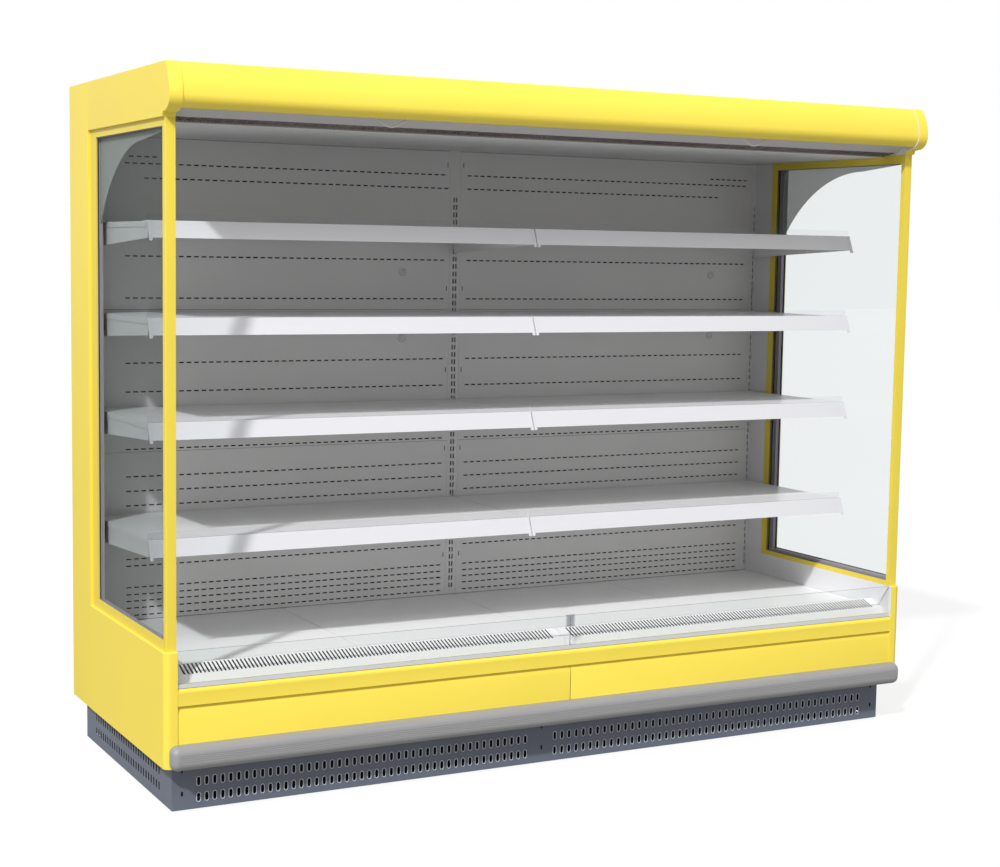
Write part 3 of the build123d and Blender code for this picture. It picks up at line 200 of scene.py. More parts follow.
def coated_steel(name, code, other, roughness, peel, shine=0.5):
    material, tree, shader, place = start_material(
        name, code, roughness, IOR=1.5, Specular_IOR_Level=shine
    )
    cloudy = {"Vector": place, "Scale": 1 / HAND, "Detail": 3.0}
    cloud = add(tree, "ShaderNodeTexNoise", cloudy).outputs["Fac"]
    tones = {"Factor": cloud, COLOUR_A: colour(code), COLOUR_B: colour(other)}
    tint = add(tree, "ShaderNodeMix", tones, data_type="RGBA").outputs[MIXED]
    levels = {"Value": cloud, "To Min": roughness - 0.05, "To Max": roughness + 0.07}
    dull = add(tree, "ShaderNodeMapRange", levels)
    grain = {"Vector": place, "Scale": 1 / PEEL_SIZE, "Detail": 2.0}
    waves = add(tree, "ShaderNodeTexNoise", grain).outputs["Fac"]
    bump = add(tree, "ShaderNodeBump", {"Height": waves, "Strength": peel, "Distance": 0.0006})
    feed(tree, shader, {"Base Color": tint, "Roughness": dull, "Normal": bump})
    return material


# %% The coats of this cabinet
SATIN = {"shine": 0.2}
yellow_powder_coat = coated_steel("yellow powder coat", "#F4DB52", "#F7E05A", 0.40, 0.20, **SATIN)
yellow_lacquer = coated_steel(
    "yellow lacquer on profiles", "#E8D04C", "#EBD553", 0.40, 0.10, **SATIN
)
white_coil_coat = coated_steel("white coil coat", "#E9E9E9", "#E4E4E5", 0.32, 0.10)
# The deck's white is drawn paler than the other white sheet, as painted light.
deck_coat_painted_light = coated_steel("white coil coat, deck", "#F4F4F4", "#F0F0F1", 0.32, 0.10)
panel_coil_coat = coated_steel("white coil coat, rear panels", "#E5E4E3", "#DFDEDE", 0.42, 0.16)
blue_grey_powder_coat = coated_steel("blue grey powder coat", "#6C7281", "#646A79", 0.50, 0.30)
# Black enamel is the compressor's own finish, and painted shade on the base frame.
black_enamel_and_shade = coated_steel("black enamel", "#17181A", "#1D1E20", 0.30, 0.25)

# %% [markdown]
# ## Extruded plastics
# The price rails are white PVC and the bumper is grey PVC. Both are pushed through a die, so
# their marks run along the length: a noise that is squeezed across the profile and stretched
# 60 times along it draws the fine lines that the bumper shows.

# %% Lines along a profile
def drawn_lines(tree, place, stretch, line_size, detail):
    """A noise that is stretched along X."""
    long = add(tree, "ShaderNodeMapping", {"Vector": place, "Scale": (1 / stretch, 1.0, 1.0)})
    inputs = {"Vector": long, "Scale": 1 / line_size, "Detail": detail}
    return add(tree, "ShaderNodeTexNoise", inputs).outputs["Fac"]


def extruded_plastic(name, code, other, roughness, line_size, depth):
    material, tree, shader, place = start_material(name, code, roughness, IOR=1.53)
    lines = drawn_lines(tree, place, 60, line_size, 4.0)
    tones = {"Factor": lines, COLOUR_A: colour(code), COLOUR_B: colour(other)}
    tint = add(tree, "ShaderNodeMix", tones, data_type="RGBA").outputs[MIXED]
    bump = add(tree, "ShaderNodeBump", {"Height": lines, "Strength": depth, "Distance": 0.0005})
    feed(tree, shader, {"Base Color": tint, "Normal": bump})
    return material


# %% The rails, the bumper and the lamp cover
rail_grey_pvc = extruded_plastic("pale grey extruded PVC", "#D2D3D4", "#CBCCCE", 0.35, 0.006, 0.08)
white_rail_pvc = extruded_plastic("white extruded PVC", "#D7D7DB", "#D3D3D7", 0.30, 0.006, 0.10)
grey_bumper_pvc = extruded_plastic("grey extruded PVC", "#9C9B9C", "#8B8A8C", 0.46, 0.003, 0.25)
opal_diffuser = extruded_plastic("opal polycarbonate", "#C0BDBC", "#BBB8B8", 0.50, 0.008, 0.06)

# %% [markdown]
# ## Bare metal
# Galvanised sheet carries a skin of zinc crystals, called spangle, each about 12 mm wide and
# each with its own brightness. A Voronoi texture has just such cells. Aluminium fins are a
# stack of thin plates, so the coil gets stripes 3 mm apart, and anodised profiles are nearly
# even, with a satin that is drawn out along the bar.

# %% Galvanised sheet
SPANGLE = 0.012


def galvanised_sheet(name):
    material, tree, shader, place = start_material(name, "#A9ACB1", 0.38, metallic=0.85)
    crystals = add(tree, "ShaderNodeTexVoronoi", {"Vector": place, "Scale": 1 / SPANGLE})
    cells = crystals.outputs["Color"]
    tones = {"Factor": cells, COLOUR_A: colour("#9A9DA3"), COLOUR_B: colour("#BEC1C5")}
    tint = add(tree, "ShaderNodeMix", tones, data_type="RGBA").outputs[MIXED]
    dull = add(tree, "ShaderNodeMapRange", {"Value": cells, "To Min": 0.30, "To Max": 0.50})
    feed(tree, shader, {"Base Color": tint, "Roughness": dull})
    return material


# %% Drawn metal
SATIN_LINE = 0.0015


def drawn_metal(name, code, roughness, metallic=1.0):
    material, tree, shader, place = start_material(name, code, roughness, metallic=metallic)
    lines = drawn_lines(tree, place, 40, SATIN_LINE, 2.0)
    levels = {"Value": lines, "To Min": roughness - 0.08, "To Max": roughness + 0.08}
    feed(tree, shader, {"Roughness": add(tree, "ShaderNodeMapRange", levels)})
    return material


galvanised = galvanised_sheet("galvanised steel")
satin_aluminium = drawn_metal("satin anodised aluminium", "#C6C8CC", 0.36)
grey_anodised = drawn_metal("grey anodised profile", "#8B8D91", 0.42, metallic=0.6)
spacer_aluminium = drawn_metal("mill aluminium spacer", "#A8A2AC", 0.50, metallic=0.1)
copper_tube = drawn_metal("drawn copper", "#C07F5C", 0.30)

# %% Fins of the two coils
# A Wave texture of scale 1 has bands about 0.32 m apart.
BAND_AT_SCALE_ONE = 1 / math.pi
FIN_PITCH = 0.003
coil_aluminium, coil_tree, coil_shader, coil_place = start_material(
    "aluminium fin stock", "#B9BCC0", 0.35, metallic=0.9
)
pitch = {"Vector": coil_place, "Scale": BAND_AT_SCALE_ONE / FIN_PITCH}
fins = add(coil_tree, "ShaderNodeTexWave", pitch, bands_direction="X").outputs["Fac"]
ridged = {"Height": fins, "Strength": 0.8, "Distance": 0.002}
feed(coil_tree, coil_shader, {"Normal": add(coil_tree, "ShaderNodeBump", ridged)})


# %% [markdown]
# ## Glass and clear plastic
# A pane of float glass is thin and flat, so it bends nothing that we can see: it lets the view
# through and lays a reflection over it. So the pane is a mix of two shaders. Transparent is the
# view through it, Glossy is the reflection, and Fresnel for an IOR of 1.5 says how much of each,
# more reflection the flatter we look. Only the faces towards us reflect, because the far side
# of so thin a pane would only double it. Light passes straight through, so what stands
# behind a pane is as bright as what stands beside it. Clear acrylic is made the same way. The
# clip at the joint of the riser is a hazed one, which shows as a pale grey strip.

# %% Clear materials
def clear_material(name, ior, tint, reflection):
    material, tree, shader, _ = start_material(name, tint, 0.0)
    tree.nodes.remove(shader)
    passing = add(tree, "ShaderNodeBsdfTransparent", {"Color": colour(tint)})
    mirror = add(tree, "ShaderNodeBsdfGlossy", {"Color": colour(reflection), "Roughness": 0.0})
    angle = add(tree, "ShaderNodeFresnel", {"IOR": ior})
    back = add(tree, "ShaderNodeNewGeometry").outputs["Backfacing"]
    front = add(tree, "ShaderNodeMath", {0: 1.0, 1: back}, operation="SUBTRACT")
    share = add(tree, "ShaderNodeMath", {0: angle, 1: front}, operation="MULTIPLY")
    pane = add(tree, "ShaderNodeMixShader", {0: share, 1: passing, 2: mirror})
    feed(tree, tree.nodes["Material Output"], {"Surface": pane})
    return material


float_glass = clear_material("float glass", 1.5, "#FDFEFE", "#4E5150")
clear_acrylic = clear_material("clear acrylic", 1.49, "#FDFDFE", "#A4A6A8")
hazed_acrylic = clear_material("hazed acrylic", 1.49, "#ECECEE", "#C4C6C8")

# %% [markdown]
# ## Rubber, moulded plastic and cloth
# What is left is matt. EPDM gasket rubber is almost black with a soft sheen. The mask in the
# window corner is enamel fired on glass, an even grey green that lets a little light through,
# which its alpha gives. Fans and boxes are moulded plastic with a fine spark texture. The
# honeycomb and the riser's ground edge are made the same way. The honeycomb is drawn paler than
# its real dark colour, as painted light, because it sits in shade. Openings and the duct behind
# the rear panels are painted nearly black as shade, because light that goes in hardly comes out.
# The blind is a plain weave of threads 1 mm apart, drawn 2 mm apart so that it shows.

# %% Moulded and matt materials
def moulded(name, code, other, roughness, grain=0.003, depth=0.2):
    material, tree, shader, place = start_material(name, code, roughness, IOR=1.49)
    speckled = {"Vector": place, "Scale": 1 / grain, "Detail": 3.0}
    spots = add(tree, "ShaderNodeTexNoise", speckled).outputs["Fac"]
    tones = {"Factor": spots, COLOUR_A: colour(code), COLOUR_B: colour(other)}
    tint = add(tree, "ShaderNodeMix", tones, data_type="RGBA").outputs[MIXED]
    bump = add(tree, "ShaderNodeBump", {"Height": spots, "Strength": depth, "Distance": 0.0004})
    feed(tree, shader, {"Base Color": tint, "Normal": bump})
    return material


# %% Seals, enamel and moulded parts
gasket_rubber = moulded("EPDM rubber", "#1E1E20", "#262629", 0.62)
glazing_seal = moulded("grey glazing seal", "#87848B", "#7F7C83", 0.60)
fired_enamel = moulded("fired grey enamel", "#B2B8B3", "#ABB1AC", 0.40, depth=0.05)
fired_enamel.node_tree.nodes["Principled BSDF"].inputs["Alpha"].default_value = 0.60
black_nylon = moulded("black nylon", "#1A1B1D", "#222326", 0.48)
grey_abs = moulded("grey ABS", "#9FA2A5", "#989B9E", 0.45)
# Painted light: the honeycomb is drawn paler than it is, because it sits in shade.
honeycomb_painted_light = moulded("dark polycarbonate honeycomb", "#C4B6B2", "#B5A8A4", 0.50)
# Painted shade: a near black sheet that stands in for the shade inside openings.
slot_shadow = moulded("painted shade of openings", "#1A1A1C", "#141416", 0.85)
# Painted shade: the duct behind the rear panels is near black, for the shade seen through the
# slots.
duct_painted_shade = moulded("painted shade of the air duct", "#131314", "#0E0E0F", 0.90, grain=0.004)

# %% The cloth of the blinds
THREADS = 0.002
blind_weave, weave_tree, weave_shader, weave_place = start_material(
    "woven blind cloth", "#D9DADC", 0.75, IOR=1.45
)
pitch = {"Vector": weave_place, "Scale": BAND_AT_SCALE_ONE / THREADS}
weft = add(weave_tree, "ShaderNodeTexWave", pitch, bands_direction="Z").outputs["Fac"]
warp = add(weave_tree, "ShaderNodeTexWave", pitch, bands_direction="X").outputs["Fac"]
crossing = add(weave_tree, "ShaderNodeMath", {0: weft, 1: warp}, operation="MULTIPLY")
tones = {"Factor": crossing, COLOUR_A: colour("#C9CACD"), COLOUR_B: colour("#E2E3E5")}
thread_tint = add(weave_tree, "ShaderNodeMix", tones, data_type="RGBA").outputs[MIXED]
woven = {"Height": crossing, "Strength": 0.5, "Distance": 0.0004}
thread_bump = add(weave_tree, "ShaderNodeBump", woven)
feed(weave_tree, weave_shader, {"Base Color": thread_tint, "Normal": thread_bump})


# %% [markdown]
# ## Dressing the CAD nodes
# A CAD node keeps its mesh and only gets materials. Its triangles come unjoined, so curved
# faces would show as facets: a Weld joins them, smooth shading rounds them, and an Edge Split
# at 35 degrees keeps the real corners sharp. Where one node holds several materials, each
# triangle gets the first material whose test it passes.

# %% Dressing one node
def dress(name, material, *special):
    """special is (material, test) pairs. A test gets a triangle's middle and its normal."""
    piece = nodes[name]
    mesh = piece.data
    mesh.materials.clear()
    for each in (material, *[pair[0] for pair in special]):
        mesh.materials.append(each)
    for face in mesh.polygons:
        face.use_smooth = True
        face.material_index = 0
        for place, (_, test) in enumerate(special, start=1):
            if test(face.center, face.normal):
                face.material_index = place
                break
    weld = piece.modifiers.new("weld", "WELD")
    weld.merge_threshold = 0.00002
    split = piece.modifiers.new("corners", "EDGE_SPLIT")
    split.split_angle = math.radians(35)
    split.use_edge_sharp = False
    print("dressed", name, "in", ", ".join(each.name for each in mesh.materials))


# %% A sheet of two colours
# The inside of an end wall is white, but its sheet is yellow where it folds round the front,
# below the deck. Both are one flat face, so the material changes colour at that height.
FOLD_TOP = 0.3645
folded_coat = coated_steel(
    "white coil coat with a yellow fold", "#E4E4E6", "#DEDEE1", 0.36, 0.16
)
fold_tree = folded_coat.node_tree
fold_shader = fold_tree.nodes["Principled BSDF"]
fold_place = add(fold_tree, "ShaderNodeTexCoord").outputs["Object"]
fold_height = add(fold_tree, "ShaderNodeSeparateXYZ", {0: fold_place}).outputs["Z"]
is_fold = add(fold_tree, "ShaderNodeMath", {0: fold_height, 1: FOLD_TOP}, operation="LESS_THAN")
white = fold_shader.inputs["Base Color"].links[0].from_socket
tones = {"Factor": is_fold, COLOUR_A: white, COLOUR_B: colour("#F4DB52")}
fold_tint = add(fold_tree, "ShaderNodeMix", tones, data_type="RGBA").outputs[MIXED]
feed(fold_tree, fold_shader, {"Base Color": fold_tint})

# %% The end walls, windows and blinds
BAY_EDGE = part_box("left_end_panel")[1].x
BAR_HEIGHT = 0.0181
GRIP_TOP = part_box("left_blind_bar")[1].z - BAR_HEIGHT


def faces_bay(at, normal):
    """The flat face of an end wall that looks into the cabinet."""
    return abs(at.x) < abs(BAY_EDGE) + 0.0005 and abs(normal.x) > 0.9


for side in ("left", "right"):
    dress(f"{side}_end_panel", yellow_powder_coat, (folded_coat, faces_bay))
    dress(f"{side}_window_frame", yellow_lacquer)
    dress(f"{side}_window_glass", float_glass)
    dress(f"{side}_return_grille", white_coil_coat)
    grip = (white_rail_pvc, lambda at, n: at.z < GRIP_TOP)
    dress(f"{side}_blind_bar", satin_aluminium, grip)
    dress(f"{side}_blind_roller", satin_aluminium)

for name in ("canopy_shell", "fascia_strip", "kick_panels"):
    dress(name, yellow_powder_coat)

# %% The plinth
# The inside of the plinth and the cut edges of its vents are painted black as shade against the
# lit sheet.
VENT_RANGE = (0.021, 0.105)
SIDE_SHEET = 1.2484
PLINTH_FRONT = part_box("plinth_panels")[0].y


def is_unlit(at, normal):
    """The inner faces of the plinth and the edges of its vents, painted black as shade."""
    if at.y * normal.y < -0.3 or at.x * normal.x < -1.0:
        return True
    through = normal.x if abs(at.x) > SIDE_SHEET else normal.y
    behind_front = abs(at.y) < abs(PLINTH_FRONT) - 0.0001
    in_range = VENT_RANGE[0] < at.z < VENT_RANGE[1] and behind_front
    return in_range and abs(through) < 0.9 and abs(normal.z) < 0.999


dress("plinth_panels", blue_grey_powder_coat, (slot_shadow, is_unlit))
# The base frame is painted black as shade, so that the vents of the plinth look dark.
dress("base_frame", black_enamel_and_shade)

# %% White and bare sheet
dress("shelf_uprights", panel_coil_coat)
for name in ("ceiling_panel", "insulated_tub"):
    dress(name, white_coil_coat)
# The deck trays carry the paler white of painted light.
for number in (1, 2, 3, 4):
    dress(f"deck_tray_{number}", deck_coat_painted_light)
for name in ("insulated_roof", "canopy_frame", "fan_plate", "tray_bearers"):
    dress(name, galvanised)
# The front face of the back wall, seen through the panel slots, is painted near black as shade.
dress("insulated_back_wall", galvanised, (duct_painted_shade, lambda at, n: n.y < -0.9))

# %% Glazing, lamp, bumper and rail
dress("glazing_spacers", spacer_aluminium)
dress("glazing_gaskets", glazing_seal)
dress("corner_masks", fired_enamel)
dress("canopy_lamp", opal_diffuser)
dress("bumper", grey_bumper_pvc)
RAIL_TOP = 0.3745
dress("riser_rail", rail_grey_pvc, (hazed_acrylic, lambda at, n: at.z > RAIL_TOP))

# %% The cooling plant
dress("evaporator", coil_aluminium)
dress("condenser", coil_aluminium)
dress("compressor", black_enamel_and_shade)
dress("refrigerant_circuit", copper_tube)
dress("control_box", grey_abs)
dress("drain", grey_abs)
for name in ("condenser_fan", "evaporator_fan_1", "evaporator_fan_2", "evaporator_fan_3"):
    dress(name, black_nylon)

# %% [markdown]
# The feet are a rubber pad on a bright metal stem, and the riser's ground top edge shows as a
# thin grey line where the clear faces don't. Each shelf is three things in one node: the
# coated plate with its brackets, the white price rail and the clear stop behind the rail.

# %% Feet and riser
PAD_TOP = 0.008
rubber_pad = (gasket_rubber, lambda at, n: at.z < PAD_TOP + 0.0001)
dress("levelling_feet", satin_aluminium, rubber_pad)
RISER_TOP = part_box("riser_glass")[1].z
ground_edge = moulded("ground glass edge", "#9EA3A2", "#959A99", 0.55)
dress("riser_glass", float_glass, (ground_edge, lambda at, n: at.z > RISER_TOP - 0.0002))

# %% Shelves
STOP_HEIGHT, RAIL_DEPTH, RAIL_DROP = 0.020, 0.0294, 0.058
for side in ("left", "right"):
    for number in (1, 2, 3, 4):
        name = f"{side}_shelf_{number}"
        low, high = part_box(name)
        top = high.z - STOP_HEIGHT
        rail_back, rail_low = low.y + RAIL_DEPTH, top - RAIL_DROP
        is_stop = lambda at, n, top=top: at.z > top + 0.0005
        is_rail = lambda at, n, back=rail_back, low=rail_low: at.y < back and at.z > low
        dress(name, white_coil_coat, (clear_acrylic, is_stop), (white_rail_pvc, is_rail))


# %% [markdown]
# ## Growing repeated shapes
# Slots, rims and cells repeat by the hundred, which is what Geometry Nodes are for: a tree
# makes one shape, a row of points says where, and Instance on Points puts it there. The tree
# runs on an empty host object, Realize Instances turns the copies into real faces, and the
# result is kept as a plain mesh.

# %% The start and the end of a tree
def new_tree(name, **inputs):
    """An empty tree with named inputs, and the node that hands them out."""
    tree = bpy.data.node_groups.new(name, "GeometryNodeTree")
    for label, kind in inputs.items():
        words = label.replace("_", " ")
        tree.interface.new_socket(words, in_out="INPUT", socket_type="NodeSocket" + kind)
    tree.interface.new_socket("Geometry", in_out="OUTPUT", socket_type="NodeSocketGeometry")
    print("tree", name, "with", ", ".join(inputs))
    return tree, add(tree, "NodeGroupInput").outputs


def close_tree(tree, shapes, material):
    """Ends a tree: real faces, one material, out."""
    real = add(tree, "GeometryNodeRealizeInstances", {"Geometry": shapes})
    dressed = add(tree, "GeometryNodeSetMaterial", {"Geometry": real, "Material": material})
    add(tree, "NodeGroupOutput", {"Geometry": dressed})


# %% A row of shapes
def repeat(tree, given, shape, turn=None):
    """A shape at each point of a row that starts at Start and goes on by Pitch."""
    steps = {
        "Count": given["Count"], "Start Location": given["Start"], "Offset": given["Pitch"],
    }
    places = {"Points": add(tree, "GeometryNodeMeshLine", steps), "Instance": shape}
    if turn:
        places["Rotation"] = turn
    return add(tree, "GeometryNodeInstanceOnPoints", places)


# %% From a tree to a mesh
def grow(tree, **settings):
    """Runs a tree with these inputs and gives back its mesh."""
    host = bpy.data.objects.new("host", bpy.data.meshes.new("host"))
    scene.collection.objects.link(host)
    modifier = host.modifiers.new("grow", "NODES")
    modifier.node_group = tree
    for item in tree.interface.items_tree:
        label = item.name.replace(" ", "_")
        if item.in_out == "INPUT" and label in settings:
            modifier[item.identifier] = settings[label]
    bpy.context.view_layer.update()
    grown = host.evaluated_get(bpy.context.evaluated_depsgraph_get())
    mesh = bpy.data.meshes.new_from_object(grown)
    bpy.data.objects.remove(host)
    return mesh


# %% From meshes to a piece
def joined(name, meshes, body, smooth=False):
    """One object of several meshes, which rides on a body."""
    made = bpy.data.meshes.new(name)
    shape = bmesh.new()
    materials = []
    for mesh in meshes:
        before = len(shape.faces)
        shape.from_mesh(mesh)
        shape.faces.ensure_lookup_table()
        own = [material for material in mesh.materials]
        for material in own:
            if material not in materials:
                materials.append(material)
        for face in shape.faces[before:]:
            face.material_index = materials.index(own[face.material_index]) if own else 0
            face.smooth = smooth
    shape.to_mesh(made)
    shape.free()
    for material in materials:
        made.materials.append(material)
    piece = bpy.data.objects.new(name, made)
    scene.collection.objects.link(piece)
    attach(piece, body)
    print(name, len(made.polygons), "faces")
    return piece


# %% [markdown]
# ## The slotted rear panels
# Cold air comes through rows of short slots in the rear panels, 16 by 4 mm and 25 mm apart.
# Painting them on would look flat from the side, so each slot is a cell of real sheet with a
# hole cut through it. One Boolean makes the cell, the row repeats it, and plain strips of the
# same sheet fill the space between the rows.

# %% The tree of a slot row
ROW = {"Start": "Vector", "Pitch": "Vector", "Count": "Int"}
slot_tree, given = new_tree("slot row", **ROW, Cell="Vector", Slot="Vector")
cell = add(slot_tree, "GeometryNodeMeshCube", {"Size": given["Cell"]})
hole = add(slot_tree, "GeometryNodeMeshCube", {"Size": given["Slot"]})
both = {"Mesh 1": cell, "Mesh 2": hole}
cut = add(slot_tree, "GeometryNodeMeshBoolean", both, operation="DIFFERENCE")
close_tree(slot_tree, repeat(slot_tree, given, cut), panel_coil_coat)

# %% Where the slots are
PANEL_FRONT, PANEL_BACK = 0.3885, 0.3897
SLOT_PITCH, SLOT_LENGTH, SLOT_HEIGHT, BAND = 0.0248, 0.016, 0.0042, 0.012
# Heights of the three panels of a bay, and of the slot rows that run over its full width.
TIERS = ((0.389, 0.9245), (0.9255, 1.3735), (1.3745, 1.9075))
FULL_ROWS = (
    1.828, 1.541, 1.410, 1.206, 1.1155, 0.934, 0.847, 0.801,
    0.755, 0.584, 0.562, 0.493, 0.470, 0.449, 0.427, 0.403,
)
# For each bay: the panel from end to end, a full row from end to end, and the short rows, each
# with its height and its ends.
BAYS = {
    "left": (
        (-1.2295, -0.0205),
        (-1.1467, -0.0395),
        ((1.849, -1.133, -1.041), (1.783, -1.085, -0.0395)),
    ),
    "right": (
        (0.0205, 1.2295),
        (0.045, 1.2069),
        ((1.849, 1.042, 1.208), (1.783, 0.045, 1.090)),
    ),
}


# %% A strip of sheet
def sheet_block(name, x, y, z, material):
    """A closed box between pairs of limits, as a mesh."""
    shape = bmesh.new()
    bmesh.ops.create_cube(shape, size=1.0)
    for corner in shape.verts:
        pairs = zip(corner.co, (x, y, z))
        corner.co = [low + (high - low) * (value + 0.5) for value, (low, high) in pairs]
    made = bpy.data.meshes.new(name)
    shape.to_mesh(made)
    shape.free()
    made.materials.append(material)
    return made


# %% One slotted panel
def slotted_tier(bottom, top, span, rows):
    """One panel: bands with slots where there are rows, and plain sheet between them."""
    sheet = (PANEL_FRONT, PANEL_BACK)
    meshes, level = [], bottom
    for height, first, last in sorted(rows):
        low, high = height - BAND / 2, height + BAND / 2
        count = int((last - first - SLOT_LENGTH) / SLOT_PITCH + 0.5) + 1
        start = first - (SLOT_PITCH - SLOT_LENGTH) / 2
        end = start + count * SLOT_PITCH
        middle = ((PANEL_FRONT + PANEL_BACK) / 2, height)
        meshes.append(sheet_block("strip", span, sheet, (level, low), panel_coil_coat))
        meshes.append(sheet_block("strip", (span[0], start), sheet, (low, high), panel_coil_coat))
        meshes.append(sheet_block("strip", (end, span[1]), sheet, (low, high), panel_coil_coat))
        meshes.append(grow(
            slot_tree,
            Start=(start + SLOT_PITCH / 2, *middle),
            Pitch=(SLOT_PITCH, 0.0, 0.0),
            Count=count,
            Cell=(SLOT_PITCH, PANEL_BACK - PANEL_FRONT, BAND),
            Slot=(SLOT_LENGTH, 0.01, SLOT_HEIGHT),
        ))
        level = high
    meshes.append(sheet_block("strip", span, sheet, (level, top), panel_coil_coat))
    return meshes


# %% [markdown]
# Three round plugs close the cable holes of each bay. A plug is a shallow cup with a rounded
# rim, so it is drawn as half its outline and turned about its own axis.

# %% Plugs
PLUG_OUTLINE = (
    (0.0, 0.0012), (0.0088, 0.0012), (0.0098, 0.0026), (0.0115, 0.003),
    (0.0135, 0.0027), (0.0148, 0.0016), (0.015, 0.0),
)
PLUG_HEIGHTS = (1.500, 1.278, 1.054)
PLUG_FROM_END = 0.174


def plug(x, z):
    shape = bmesh.new()
    places = [(x + radius, PANEL_FRONT - rise, z) for radius, rise in PLUG_OUTLINE]
    outline = [shape.verts.new(place) for place in places]
    edges = [shape.edges.new(pair) for pair in zip(outline, outline[1:])]
    turn = {"cent": (x, PANEL_FRONT, z), "axis": (0, 1, 0), "angle": math.tau, "steps": 28}
    bmesh.ops.spin(shape, geom=[*outline, *edges], **turn)
    bmesh.ops.remove_doubles(shape, verts=shape.verts, dist=0.00002)
    bmesh.ops.recalc_face_normals(shape, faces=shape.faces)
    if sum(face.normal.y for face in shape.faces) > 0:
        bmesh.ops.reverse_faces(shape, faces=shape.faces)
    made = bpy.data.meshes.new("plug")
    shape.to_mesh(made)
    shape.free()
    made.materials.append(white_rail_pvc)
    return made


# %% Panels and plugs of both bays
for side, (span, full, extra) in BAYS.items():
    rows = [(height, *full) for height in FULL_ROWS] + list(extra)
    meshes = []
    for bottom, top in TIERS:
        own_rows = [row for row in rows if bottom < row[0] < top]
        meshes += slotted_tier(bottom, top, span, own_rows)
    panel = joined(f"{side}_slotted_panels", meshes, "cabinet")
    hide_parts(f"{side}_rear_panels")
    plugs = [plug(span[1] - PLUG_FROM_END, z) for z in PLUG_HEIGHTS]
    joined(f"{side}_panel_plugs", plugs, "cabinet", smooth=True)

# %% [markdown]
# Beside the middle upright, the panels show the narrow slits of their latches. They are only
# dark marks from here, so each is a thin black strip of painted shade that lies on the sheet.

# %% Latch slits
LATCH_HEIGHTS = (1.862, 1.445, 1.168, 0.898, 0.5285)
LATCH_PLACE, LATCH_HALF_WIDTH, LATCH_HALF_HEIGHT = 0.030, 0.0013, 0.008
LATCH_DEPTH = (PANEL_FRONT - 0.0003, PANEL_FRONT + 0.0002)


def latch(x, z):
    wide = (x - LATCH_HALF_WIDTH, x + LATCH_HALF_WIDTH)
    tall = (z - LATCH_HALF_HEIGHT, z + LATCH_HALF_HEIGHT)
    return sheet_block("latch", wide, LATCH_DEPTH, tall, slot_shadow)


latches = [latch(x, z) for x in (-LATCH_PLACE, LATCH_PLACE) for z in LATCH_HEIGHTS]
joined("panel_latch_slits", latches, "cabinet")

# %% [markdown]
# ## Pressed rims on the plinth
# Every vent in the front of the plinth has a thin raised rim, pressed in the same stroke as the
# hole. It catches the light and makes the pattern crisp. The rim is a rounded rectangle, which is
# a Quadrilateral with its corners filleted, swept with a small circle of four sides. Its coat is
# the plinth's, drawn paler as a painted highlight, because the photograph shows the rims as
# bright lines.

# %% The tree of a rim row
RIM_INPUTS = {"Turn": "Rotation", "Wide": "Float", "Tall": "Float", "Wire": "Float"}
rim_tree, given = new_tree("vent rims", **ROW, **RIM_INPUTS)
frame_size = {"Width": given["Wide"], "Height": given["Tall"]}
outline = add(rim_tree, "GeometryNodeCurvePrimitiveQuadrilateral", frame_size)
# A corner radius of nearly half the width makes both ends round.
ROUND = 0.499
radius = add(rim_tree, "ShaderNodeMath", {0: given["Wide"], 1: ROUND}, operation="MULTIPLY")
corners = {"Curve": outline, "Count": 2, "Radius": radius, "Limit Radius": True}
rounded = add(rim_tree, "GeometryNodeFilletCurve", corners, mode="POLY")
bead = {"Resolution": 4, "Radius": given["Wire"]}
wire = add(rim_tree, "GeometryNodeCurvePrimitiveCircle", bead)
rim = add(rim_tree, "GeometryNodeCurveToMesh", {"Curve": rounded, "Profile Curve": wire})
# The rims' coat is the plinth's blue grey drawn paler, as a painted highlight.
rim_painted_highlight = coated_steel("blue grey powder coat, rims", "#D8DEE8", "#CDD4E0", 0.34, 0.1)
close_tree(rim_tree, repeat(rim_tree, given, rim, given["Turn"]), rim_painted_highlight)

# %% Rims on the front of the plinth
RIM = {"Wide": 0.0118, "Tall": 0.0268, "Wire": 0.0012}
VENT_HEIGHTS = (0.0805, 0.0345)
# Each group: the place of its first vent, the pitch and the number of vents.
VENT_GROUPS = ((-1.1715, 0.02377, 45), (-0.021, 0.02585, 47))
UPRIGHT = (math.pi / 2, 0.0, 0.0)
rim_meshes = []
for z in VENT_HEIGHTS:
    for first, pitch, count in VENT_GROUPS:
        row = {"Start": (first, PLINTH_FRONT, z), "Pitch": (pitch, 0.0, 0.0), "Count": count}
        rim_meshes.append(grow(rim_tree, Turn=UPRIGHT, **row, **RIM))
joined("plinth_vent_rims", rim_meshes, "cabinet")

# %% [markdown]
# ## The honeycomb of the air curtain
# A slab of honeycomb straightens the cold air before it falls past the shelves. Its cells are
# six sided tubes. Two grids of points, one shifted by half a cell both ways, make the
# hexagonal pattern, and each point gets a six sided ring. The real cells are 6 mm wide and are
# drawn 11 mm wide, because finer ones melt to grey in the picture.

# %% One cell
COMB_SIZES = {"Across": "Float", "Depth": "Float", "Wall": "Float"}
comb_tree, given = new_tree("honeycomb", **COMB_SIZES, Columns="Int", Rows="Int")
across_to_radius = {0: given["Across"], 1: 1 / math.sqrt(3)}
radius = add(comb_tree, "ShaderNodeMath", across_to_radius, operation="MULTIPLY")
ring = {"Resolution": 6, "Radius": radius}
hexagon = add(comb_tree, "GeometryNodeCurvePrimitiveCircle", ring)
quarter = {"Geometry": hexagon, "Rotation": (0.0, 0.0, math.pi / 2)}
upright = add(comb_tree, "GeometryNodeTransform", quarter)
wall_size = {"Width": given["Wall"], "Height": given["Depth"]}
wall = add(comb_tree, "GeometryNodeCurvePrimitiveQuadrilateral", wall_size)
tube = add(comb_tree, "GeometryNodeCurveToMesh", {"Curve": upright, "Profile Curve": wall})

